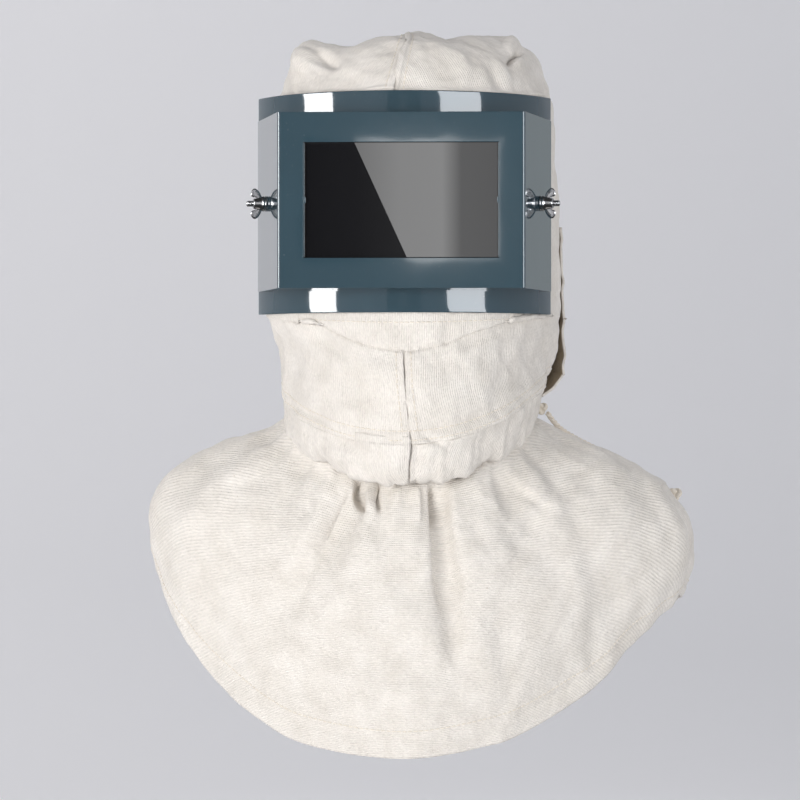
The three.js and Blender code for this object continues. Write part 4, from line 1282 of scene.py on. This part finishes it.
def make_tab(side):
    """A plate inside the cover's wall that the bolt's head bears on, drawn in the bolt's frame."""
    run = (1 - BOLT_ALONG) * WALL_LENGTH
    front, back = side * (-TAB_WIDTH / 2), side * run
    low, high = sorted((front, back))
    under = -COVER_WALL - GAP
    outline = np.array([(low, -TAB_HEIGHT / 2), (high, -TAB_HEIGHT / 2), (high, TAB_HEIGHT / 2),
                        (low, TAB_HEIGHT / 2)])
    points, faces = prism(outline, under - TAB_WALL, under)
    tab = solid_object("bolt_tab_left" if side < 0 else "bolt_tab_right", [(placed(points, side), faces)])
    cut(tab, [bolt_hole(side)])
    return finish_piece(rounded(tab, 0.5 * MM))


visor_band = make_visor_band()
glass_seat = make_seat()
bolt_tabs = [make_tab(-1), make_tab(1)]
print("visor pieces", visor_band.name, glass_seat.name, [t.name for t in bolt_tabs])

# %% [markdown]
# The cover is a shallow box. It is cut from one block in plan: the band's curve is taken from its back,
# then a hollow, the window and the bolt holes. Its two upright front corners are rounder than its other
# edges, which is why they show as bright lines. The window has a thin lip with a small nib on each side.


# %% Window cover and pane
def rounded_corner(before, corner, after, radius, steps=10):
    """An arc of that radius in place of a corner of an outline."""
    one, two = unit(before - corner), unit(after - corner)
    half = math.acos(float(one @ two)) / 2
    centre = corner + unit(one + two) * radius / math.sin(half)
    start, end = (corner + u * radius / math.tan(half) - centre for u in (one, two))
    share = np.linspace(0, 1, steps + 1)[:, None]
    return centre + radius * unit((1 - share) * start + share * end)


def make_cover():
    """The clamped cover as one moulding."""
    mirror = np.array([-1, 1])
    front, rear = CORNER_FRONT, CORNER_REAR
    outline = np.concatenate([
        [rear, rear * mirror],
        rounded_corner(rear * mirror, front * mirror, front, COVER_EDGE),
        rounded_corner(front * mirror, front, rear, COVER_EDGE),
    ])
    bottom, top = VISOR_MIDDLE - COVER_HEIGHT / 2, VISOR_MIDDLE + COVER_HEIGHT / 2
    cover = solid_object("clamped_cover", [prism(outline, bottom, top)])
    round_band = arc(FRAME_OUTER + GAP, np.linspace(0, 360, 360, endpoint=False))
    cut(cover, [prism(round_band, bottom - 0.01, top + 0.01)])
    lean = WALL_RUN[0] / WALL_RUN[1]
    shift = COVER_WALL / math.cos(math.atan(lean)) - COVER_WALL * lean
    inner_front = np.array([front[0] - shift, COVER_FRONT + COVER_WALL])
    inner_rear = inner_front + np.array([lean, 1]) * FRAME_OUTER
    hollow = np.array([inner_rear, inner_rear * mirror, inner_front * mirror, inner_front])
    cut(cover, [prism(hollow, bottom + COVER_WALL, top - COVER_WALL)])
    half = WINDOW_WIDTH / 2
    low, high = VISOR_MIDDLE - WINDOW_HEIGHT / 2, VISOR_MIDDLE + WINDOW_HEIGHT / 2
    cut(cover, [box_part(-half, half, COVER_FRONT - 0.006, COVER_FRONT + 0.006, low, high)])
    cut(cover, [bolt_hole(-1)])
    cut(cover, [bolt_hole(1)])
    return finish_piece(rounded(cover, 0.8 * MM, 4), nodes=["window_cover"])


def make_lips():
    """A thin lip up each side of the window, level with its face, with a nib at mid-height."""
    parts = []
    for side in (-1, 1):
        edge = side * WINDOW_WIDTH / 2
        low, high = sorted((edge, edge - side * 0.9 * MM))
        face, back = COVER_FRONT + 0.5 * MM, COVER_FRONT + COVER_WALL - 0.1 * MM
        half = WINDOW_HEIGHT / 2 - 0.4 * MM
        parts.append(box_part(low, high, face, back, VISOR_MIDDLE - half, VISOR_MIDDLE + half))
        nib_low, nib_high = sorted((edge, edge - side * 1.8 * MM))
        parts.append(box_part(nib_low, nib_high, COVER_FRONT - 0.1 * MM, back - 0.2 * MM,
                              VISOR_MIDDLE - 2.2 * MM, VISOR_MIDDLE + 2.2 * MM))
    lips = solid_object("window_lips", parts)
    return finish_piece(rounded(lips, 0.25 * MM, 2))


def make_pane():
    """The dark pane, a flat plate with ground edges."""
    x, z = SEAT_WIDTH / 2, SEAT_HEIGHT / 2
    plate = box_part(-x, x, GLASS_FRONT, GLASS_FRONT + PANE, VISOR_MIDDLE - z, VISOR_MIDDLE + z)
    pane = solid_object("filter_pane", [plate], dark_glass)
    return finish_piece(rounded(pane, 0.4 * MM, 2), nodes=["window_glass"])


cover = make_cover()
lips = make_lips()
pane = make_pane()
print("cover", cover.name, "faces", len(cover.data.polygons), "pane", pane.name)

# %% [markdown]
# ## Bolts, washers and wing nuts
# Each side has an M5 bolt with its head inside, a washer, and a pressed wing nut. The thread is a real
# helix in the mesh: the rod's radius goes in and out by a triangle wave that climbs with the angle. The
# wings are paddles, swept from the hub out and forwards along the bolt, each with a rounded edge.


# %% Bolts and washers
def threaded_rod(from_z, to_z, radius, pitch=0.8 * MM, depth=0.42 * MM, sides=32, per_turn=8):
    """Radius less depth * |wave|, where the wave is z / pitch less the turn's share, from 0 to 1 and
    back. The last turn tapers into the end's chamfer."""
    rows = int((to_z - from_z) / pitch * per_turn)
    z = np.linspace(from_z, to_z, rows + 1)[:, None]
    turn = np.linspace(0, 2 * math.pi, sides, endpoint=False)[None, :]
    wave = np.abs(2 * ((z / pitch - turn / (2 * math.pi)) % 1) - 1)
    reach = radius - depth * wave
    reach = np.minimum(reach, radius - 0.9 * MM * ease(z, to_z - 0.9 * MM, to_z))
    return np.stack([reach * np.cos(turn), reach * np.sin(turn), z + 0 * turn], axis=-1)


def make_bolt(side):
    """Head, plain neck and threaded end, on the bolt's axis."""
    name = "left" if side < 0 else "right"
    under = -(COVER_WALL + GAP + TAB_WALL + GAP)
    head = [(0, under - 2.5 * MM), (3.2 * MM, under - 2.5 * MM), (4.4 * MM, under - 1.9 * MM),
            (4.95 * MM, under - 0.4 * MM), (4.8 * MM, under), (2.4 * MM, under)]
    rod = threaded_rod(under, BOLT_STICK_OUT, BOLT_RADIUS)
    grid = np.concatenate([turned(head, 32), rod, turned([(0, BOLT_STICK_OUT)], 32)])
    faces = grid_faces(len(grid), 32, closed=True)
    bolt = make_object(f"threaded_bolt_{name}", placed(grid.reshape(-1, 3), side), faces, steel)
    weld(bolt)
    return finish_piece(bolt, nodes=[f"side_bolt_{name}"])


def make_washer(side):
    """A stamped ring: one face edge is round from the punch."""
    name = "left" if side < 0 else "right"
    bore, reach, thick = BOLT_RADIUS + GAP, 6 * MM, 1.2 * MM
    profile = [(bore, 0.1 * MM), (bore + 0.1 * MM, 0), (reach - 0.1 * MM, 0), (reach, 0.1 * MM),
               (reach, thick - 0.4 * MM), (reach - 0.12 * MM, thick - 0.12 * MM),
               (reach - 0.4 * MM, thick), (bore + 0.25 * MM, thick), (bore, thick - 0.25 * MM)]
    points, faces = turned_part(profile, side, GAP)
    washer = make_object(f"stamped_washer_{name}", points, faces, steel)
    return finish_piece(washer, nodes=[f"washer_{name}"])


# %% Wing nuts
NUT_HEIGHT = 8.5 * MM


def wing_part(direction, side, height):
    """A paddle: its centre line is a quadratic curve from the hub to the tip, its width and thickness
    follow the line, and each cross-section is a superellipse |x|^3 + |y|^3 = 1."""
    u = np.linspace(0, 1, 26)
    start, middle, end = np.array([2.9, 3.6]), np.array([7.0, 3.8]), np.array([9.6, 10.0])
    blend = ((1 - u) ** 2)[:, None], (2 * u * (1 - u))[:, None], (u**2)[:, None]
    line = (blend[0] * start + blend[1] * middle + blend[2] * end) * MM
    tangent = unit(np.gradient(line, axis=0))
    square = np.stack([-tangent[:, 1], tangent[:, 0]], axis=-1)
    round_tip = np.sqrt(np.clip(1 - ((u - 0.82) / 0.18).clip(0) ** 2, 0.0, 1))
    wide = (2.4 + 1.0 * ease(u, 0.25, 0.8)) * MM * np.maximum(round_tip, 0.02)
    thick = (1.25 - 0.35 * u) * MM * np.maximum(round_tip, 0.02)
    a = np.linspace(0, 2 * math.pi, 20, endpoint=False)
    across = np.sign(np.cos(a)) * np.abs(np.cos(a)) ** (2 / 3)
    above = np.sign(np.sin(a)) * np.abs(np.sin(a)) ** (2 / 3)
    plane = line[:, None] + (wide[:, None] * across)[..., None] * square[:, None]
    depth = thick[:, None] * above
    points = np.stack([depth, direction * plane[..., 0], plane[..., 1]], axis=-1)
    faces = tube_faces(len(u), len(a))
    return placed(points.reshape(-1, 3), side, height), faces


def make_wing_nut(side):
    """Hub and two wings as one nut, on its own body so that it turns on the bolt."""
    name = "left" if side < 0 else "right"
    height = 2 * GAP + 1.2 * MM
    bore = BOLT_RADIUS + GAP
    hub = [(bore, 0.3 * MM), (bore + 0.3 * MM, 0), (5.7 * MM, 0), (6 * MM, 0.3 * MM), (6 * MM, 1.2 * MM),
           (5.6 * MM, 1.7 * MM), (5.1 * MM, 2.1 * MM), (4.7 * MM, 4 * MM), (4.35 * MM, 7.2 * MM),
           (4.1 * MM, 8.1 * MM), (3.7 * MM, NUT_HEIGHT), (bore + 0.35 * MM, NUT_HEIGHT),
           (bore, NUT_HEIGHT - 0.35 * MM)]
    parts = [turned_part(hub, side, height), wing_part(1, side, height), wing_part(-1, side, height)]
    nut = solid_object(f"pressed_wing_nut_{name}", parts, steel)
    return finish_piece(nut, body=f"wing_nut_{name}", nodes=[f"wing_nut_{name}"])


for wall_side in (-1, 1):
    made = [make_bolt(wall_side), make_washer(wall_side), make_wing_nut(wall_side)]
    print("fasteners", [piece.name for piece in made])

# %% [markdown]
# ## Stitches
# The hood is sewn with thick thread. Every stitch is a small capsule, half sunk in the cloth, laid along
# a column or a row of a panel's grid. They are few faces each, because there are many of them.


# %% Stitches
STITCH_LENGTH = 3.2 * MM
STITCH_PITCH = 4.2 * MM
STITCH_RADIUS = 0.42 * MM


def capsule(length, radius, sides=6):
    """A short rod with rounded ends along the first axis: rings of radius 0.35, 1, 1 and 0.35."""
    place = np.array([-0.5, -0.36, 0.36, 0.5]) * length
    size = np.array([0.35, 1, 1, 0.35]) * radius
    turn = np.linspace(0, 2 * math.pi, sides, endpoint=False)
    ring = np.stack([np.cos(turn), np.sin(turn)], axis=-1)
    points = np.concatenate([
        np.broadcast_to(place[:, None, None], (4, sides, 1)), size[:, None, None] * ring[None],
    ], axis=-1)
    return points.reshape(-1, 3), tube_faces(4, sides)


def stitch_run(line, normals):
    """Capsules along a line of points, evenly spaced by walked distance, turned to the line and its
    normals, and swayed a little sideways so that they don't look ruled."""
    walked = np.concatenate([[0], np.cumsum(np.linalg.norm(np.diff(line, axis=0), axis=1))])
    at = np.arange(STITCH_PITCH / 2, walked[-1] - STITCH_PITCH / 2, STITCH_PITCH)
    place = np.stack([np.interp(at, walked, line[:, k]) for k in range(3)], axis=-1)
    ahead = np.stack([np.interp(at + 1 * MM, walked, line[:, k]) for k in range(3)], axis=-1)
    normal = unit(np.stack([np.interp(at, walked, normals[:, k]) for k in range(3)], axis=-1))
    along = unit(ahead - place)
    across = unit(np.cross(normal, along))
    along = unit(along + 0.05 * np.sin(7 * at / MM)[:, None] * across)
    upright = np.cross(along, across)
    return place + 0.1 * MM * normal, np.stack([along, across, upright], axis=1)


def make_stitches(name, runs, rests):
    """All the stitches of one panel as one mesh."""
    shape, shape_faces = capsule(STITCH_LENGTH, STITCH_RADIUS)
    points, faces, start = [], [], 0
    for line, normals in runs:
        places, axes = stitch_run(line, normals)
        spots = places[:, None] + np.einsum("pk,nkc->npc", shape, axes)
        points.append(spots.reshape(-1, 3))
        for k in range(len(places)):
            faces.extend([[i + start for i in face] for face in shape_faces])
            start += len(shape)
    made = make_object(name, np.concatenate(points), faces, cotton)
    print(name, start // len(shape), "stitches on", rests)
    return finish_piece(made)


def column_run(name, angles, angle, rows, start, end):
    """A panel's grid column nearest that angle, between two section numbers."""
    final, normals = panels[name]
    j = int(np.argmin(np.abs(angles - angle)))
    inside = (rows >= start) & (rows <= end)
    return final[inside, j], normals[inside, j]


def row_run(name, i):
    """A panel's grid row."""
    final, normals = panels[name]
    return final[i], normals[i]


lap_angle = math.degrees(LAP_STITCH / FACE_RADIUS)
for wall_side, half in ((-1, "left"), (1, "right")):
    half_angles = lapped(HALF_ANGLES, wall_side)
    panel = f"canvas_half_{half}"
    seam_runs = [
        column_run(panel, half_angles, wall_side * lap_angle * 1.4, HOOD_ROWS, 1.2, 7.2),
        column_run(panel, half_angles, wall_side * lap_angle * 1.0, HOOD_ROWS, 12.1, 13.8),
        column_run(panel, half_angles, wall_side * (180 - lap_angle), HOOD_ROWS, 2.0, 13.8),
        row_run(panel, int(np.argmin(np.abs(HOOD_ROWS - 13.9)))),
        row_run(panel, int(np.argmin(np.abs(HOOD_ROWS - 13.72)))),
    ]
    make_stitches(f"hood_stitches_{half}", seam_runs, panel)
make_stitches("hem_stitches", [row_run("shoulder_cape", 90)], "shoulder_cape")
make_stitches("chin_stitches", [row_run("chin_piece", 18)], "chin_piece")
flap_final, flap_normals = panels["lapped_flap"]
make_stitches("flap_stitches", [(flap_final[:, 5], flap_normals[:, 5])], "lapped_flap")

# %% [markdown]
# ## Stage and light
# The hood is shown against plain pale grey, as in a studio. A round bowl with a flat floor gives grey
# behind it from every side; the grey is painted lighter towards -X and darker towards +X, as painted light,
# and the wall glows a little in it. Tall white cards beside the camera show as bright bars in the
# curved plastic, and a bright card with a slanted edge behind the camera shows in the dark pane.


# %% The bowl
def make_bowl():
    """A floor that turns up into a wall: r = flat + bend * sin(b), z = floor + bend * (1 - cos(b))."""
    material, tree, shader = new_material("pale_grey_wall", Roughness=1.0)
    coordinates = node(tree, "ShaderNodeTexCoord").outputs["Object"]
    across = node(tree, "ShaderNodeSeparateXYZ", {0: coordinates}).outputs[0]
    # Painted light: the wall's grey runs from light at -X to darker at +X, as if lit from the left, and the same
    # grey drives a faint glow.
    share = maths(tree, "MULTIPLY_ADD", across, 0.4)
    grey = ramp(tree, share, [(0.1, (0.78, 0.775, 0.785)), (0.9, (0.67, 0.67, 0.685))])
    tree.links.new(grey, shader.inputs["Base Color"])
    tree.links.new(grey, shader.inputs["Emission Color"])
    shader.inputs["Emission Strength"].default_value = 0.25
    shader.inputs["Specular IOR Level"].default_value = 0.0
    floor, flat, bend, top = -1.0, 3.5, 2.0, 3.2
    b = np.linspace(0, math.pi / 2, 20)
    reach = np.concatenate([[0.001, 1.0, 2.2], flat + bend * np.sin(b), [flat + bend]])
    height = np.concatenate([[floor] * 3, floor + bend * (1 - np.cos(b)), [top]])
    turn = np.linspace(0, 2 * math.pi, 96, endpoint=False)
    points = np.stack([
        reach[:, None] * np.cos(turn), reach[:, None] * np.sin(turn), height[:, None] + 0 * turn,
    ], axis=-1)
    bowl = make_object("studio_bowl", points, grid_faces(len(reach), 96, closed=True), material)
    return bowl


bowl = make_bowl()


# %% [markdown]
# Soft lamps light the cloth. The cards are seen only by glossy surfaces, so that the reflections can be
# as bright as in the photograph without flattening the folds of the cloth.

# %% Lamps and cards
def aim(thing, place, target=(0, 0, -0.25)):
    """Puts a thing in its place and turns its -Z axis towards the target."""
    thing.location = place
    thing.rotation_euler = (Vector(target) - Vector(place)).to_track_quat("-Z", "Y").to_euler()


def soft_lamp(name, place, size, power, colour=(1, 1, 1)):
    """A square area lamp that isn't seen in reflections."""
    data = bpy.data.lights.new(name, "AREA")
    data.energy = power
    data.size = size
    data.color = colour
    lamp = bpy.data.objects.new(name, data)
    bpy.context.scene.collection.objects.link(lamp)
    aim(lamp, place)
    lamp.visible_glossy = False
    return lamp


def card_material(name, strength_stops=None, colour=(1, 1, 1, 1), strength=1.0):
    """Plain light, or light whose strength is a ramp along the card's X in metres."""
    material = bpy.data.materials.new(name)
    material.use_nodes = True
    tree = material.node_tree
    tree.nodes.clear()
    light = node(tree, "ShaderNodeEmission", {"Color": colour, "Strength": strength})
    if strength_stops:
        x = node(tree, "ShaderNodeSeparateXYZ", {0: node(tree, "ShaderNodeTexCoord").outputs["Object"]})
        low, high = strength_stops[0][0], strength_stops[-1][0]
        share = maths(tree, "DIVIDE", maths(tree, "SUBTRACT", x.outputs[0], low), high - low)
        peak = max(value for place, value in strength_stops)
        stops = [((place - low) / (high - low), value / peak) for place, value in strength_stops]
        grey = ramp(tree, share, stops)
        tree.links.new(maths(tree, "MULTIPLY", grey, peak), light.inputs["Strength"])
    output = node(tree, "ShaderNodeOutputMaterial", {0: light.outputs[0]})
    output.is_active_output = True
    return material


def make_card(name, corners, material):
    """A flat card that only glossy surfaces see."""
    card = make_object(name, np.array(corners, float), [list(range(len(corners)))], material, smooth=False)
    card.visible_camera = False
    card.visible_diffuse = False
    card.visible_shadow = False
    card.visible_transmission = False
    return card


def bar_card(name, azimuths, low, high, strength, colour=(1, 1, 1, 1), distance=2.4):
    """An upright card with a corner at each azimuth: low left, low right, high right, high left.
    Azimuth 0 is in front of the hood and 90 on its right."""
    corners = [
        (distance * math.sin(math.radians(a)), -distance * math.cos(math.radians(a)), z)
        for a, z in zip(azimuths, (low, low, high, high))
    ]
    return make_card(name, corners, card_material(name, colour=colour, strength=strength))


key = soft_lamp("key_lamp", (-1.8, -2.7, -0.15), 1.5, 72)
fill = soft_lamp("fill_lamp", (2.2, -2.2, -0.4), 1.8, 38, (0.96, 0.98, 1.0))
top = soft_lamp("top_lamp", (0.1, -0.2, 2.4), 1.6, 2)
rim = soft_lamp("back_lamp", (0.6, 2.6, 1.6), 1.6, 26)
bar_card("bright_bar", (-65.4, -46.0, -54.4, -80.8), -0.5, 0.5, 17.0)
bar_card("cool_bar", (36.5, 62.4, 51.9, 19.0), -0.5, 0.5, 9.0, (0.93, 0.96, 1, 1))
bar_card("shade_card", (144, 163, 163, 144), -1.6, 1.4, 0.36, (0.9, 0.97, 1, 1))
dark = card_material("flat_black", strength=0.04)
for name, height in (("dark_floor", -0.95), ("dark_ceiling", 1.7)):
    make_card(name, [(-2.2, -3.3, height), (2.2, -3.3, height), (2.2, 1.5, height), (-2.2, 1.5, height)], dark)
CARD_Y = -2.84
SLANT = [(-0.1495, 0.1218), (-0.0704, -0.0582)]
slope = (SLANT[1][0] - SLANT[0][0]) / (SLANT[1][1] - SLANT[0][1])
card_top, card_foot = 0.1255, -0.0655


def slant_x(z):
    """Where the bright card's slanted edge is at that height."""
    return SLANT[0][0] + slope * (z - SLANT[0][1])


CARD_LEFT, CARD_RIGHT = -0.2305, 0.0785
pane_light = card_material("pane_light", [(-0.15, 3.7), (-0.08, 5.2), (-0.01, 5.4), (0.02, 2.4), (0.1, 2.1)])
make_card("pane_card", [
    (slant_x(card_foot), CARD_Y, card_foot), (CARD_RIGHT, CARD_Y, card_foot),
    (CARD_RIGHT, CARD_Y, card_top), (slant_x(card_top), CARD_Y, card_top),
], pane_light)
make_card("backdrop_card", [(-0.6, CARD_Y - 0.04, -0.6), (0.6, CARD_Y - 0.04, -0.6), (0.6, CARD_Y - 0.04, 0.7),
                            (-0.6, CARD_Y - 0.04, 0.7)], card_material("backdrop", strength=0.3))
make_card("dark_card", [
    (CARD_LEFT, CARD_Y - 0.02, card_foot), (CARD_RIGHT, CARD_Y - 0.02, card_foot),
    (CARD_RIGHT, CARD_Y - 0.02, card_top), (CARD_LEFT, CARD_Y - 0.02, card_top),
], card_material("pane_shade", [(-0.235, 0.05), (-0.15, 0.12), (-0.07, 0.3), (0.083, 0.3)]))

world = bpy.data.worlds.new("studio_air")
world.use_nodes = True
world.node_tree.nodes["Background"].inputs["Color"].default_value = (0.9, 0.92, 1.0, 1)
world.node_tree.nodes["Background"].inputs["Strength"].default_value = 0.30
bpy.context.scene.world = world
print("lamps", key.name, fill.name, top.name, rim.name)
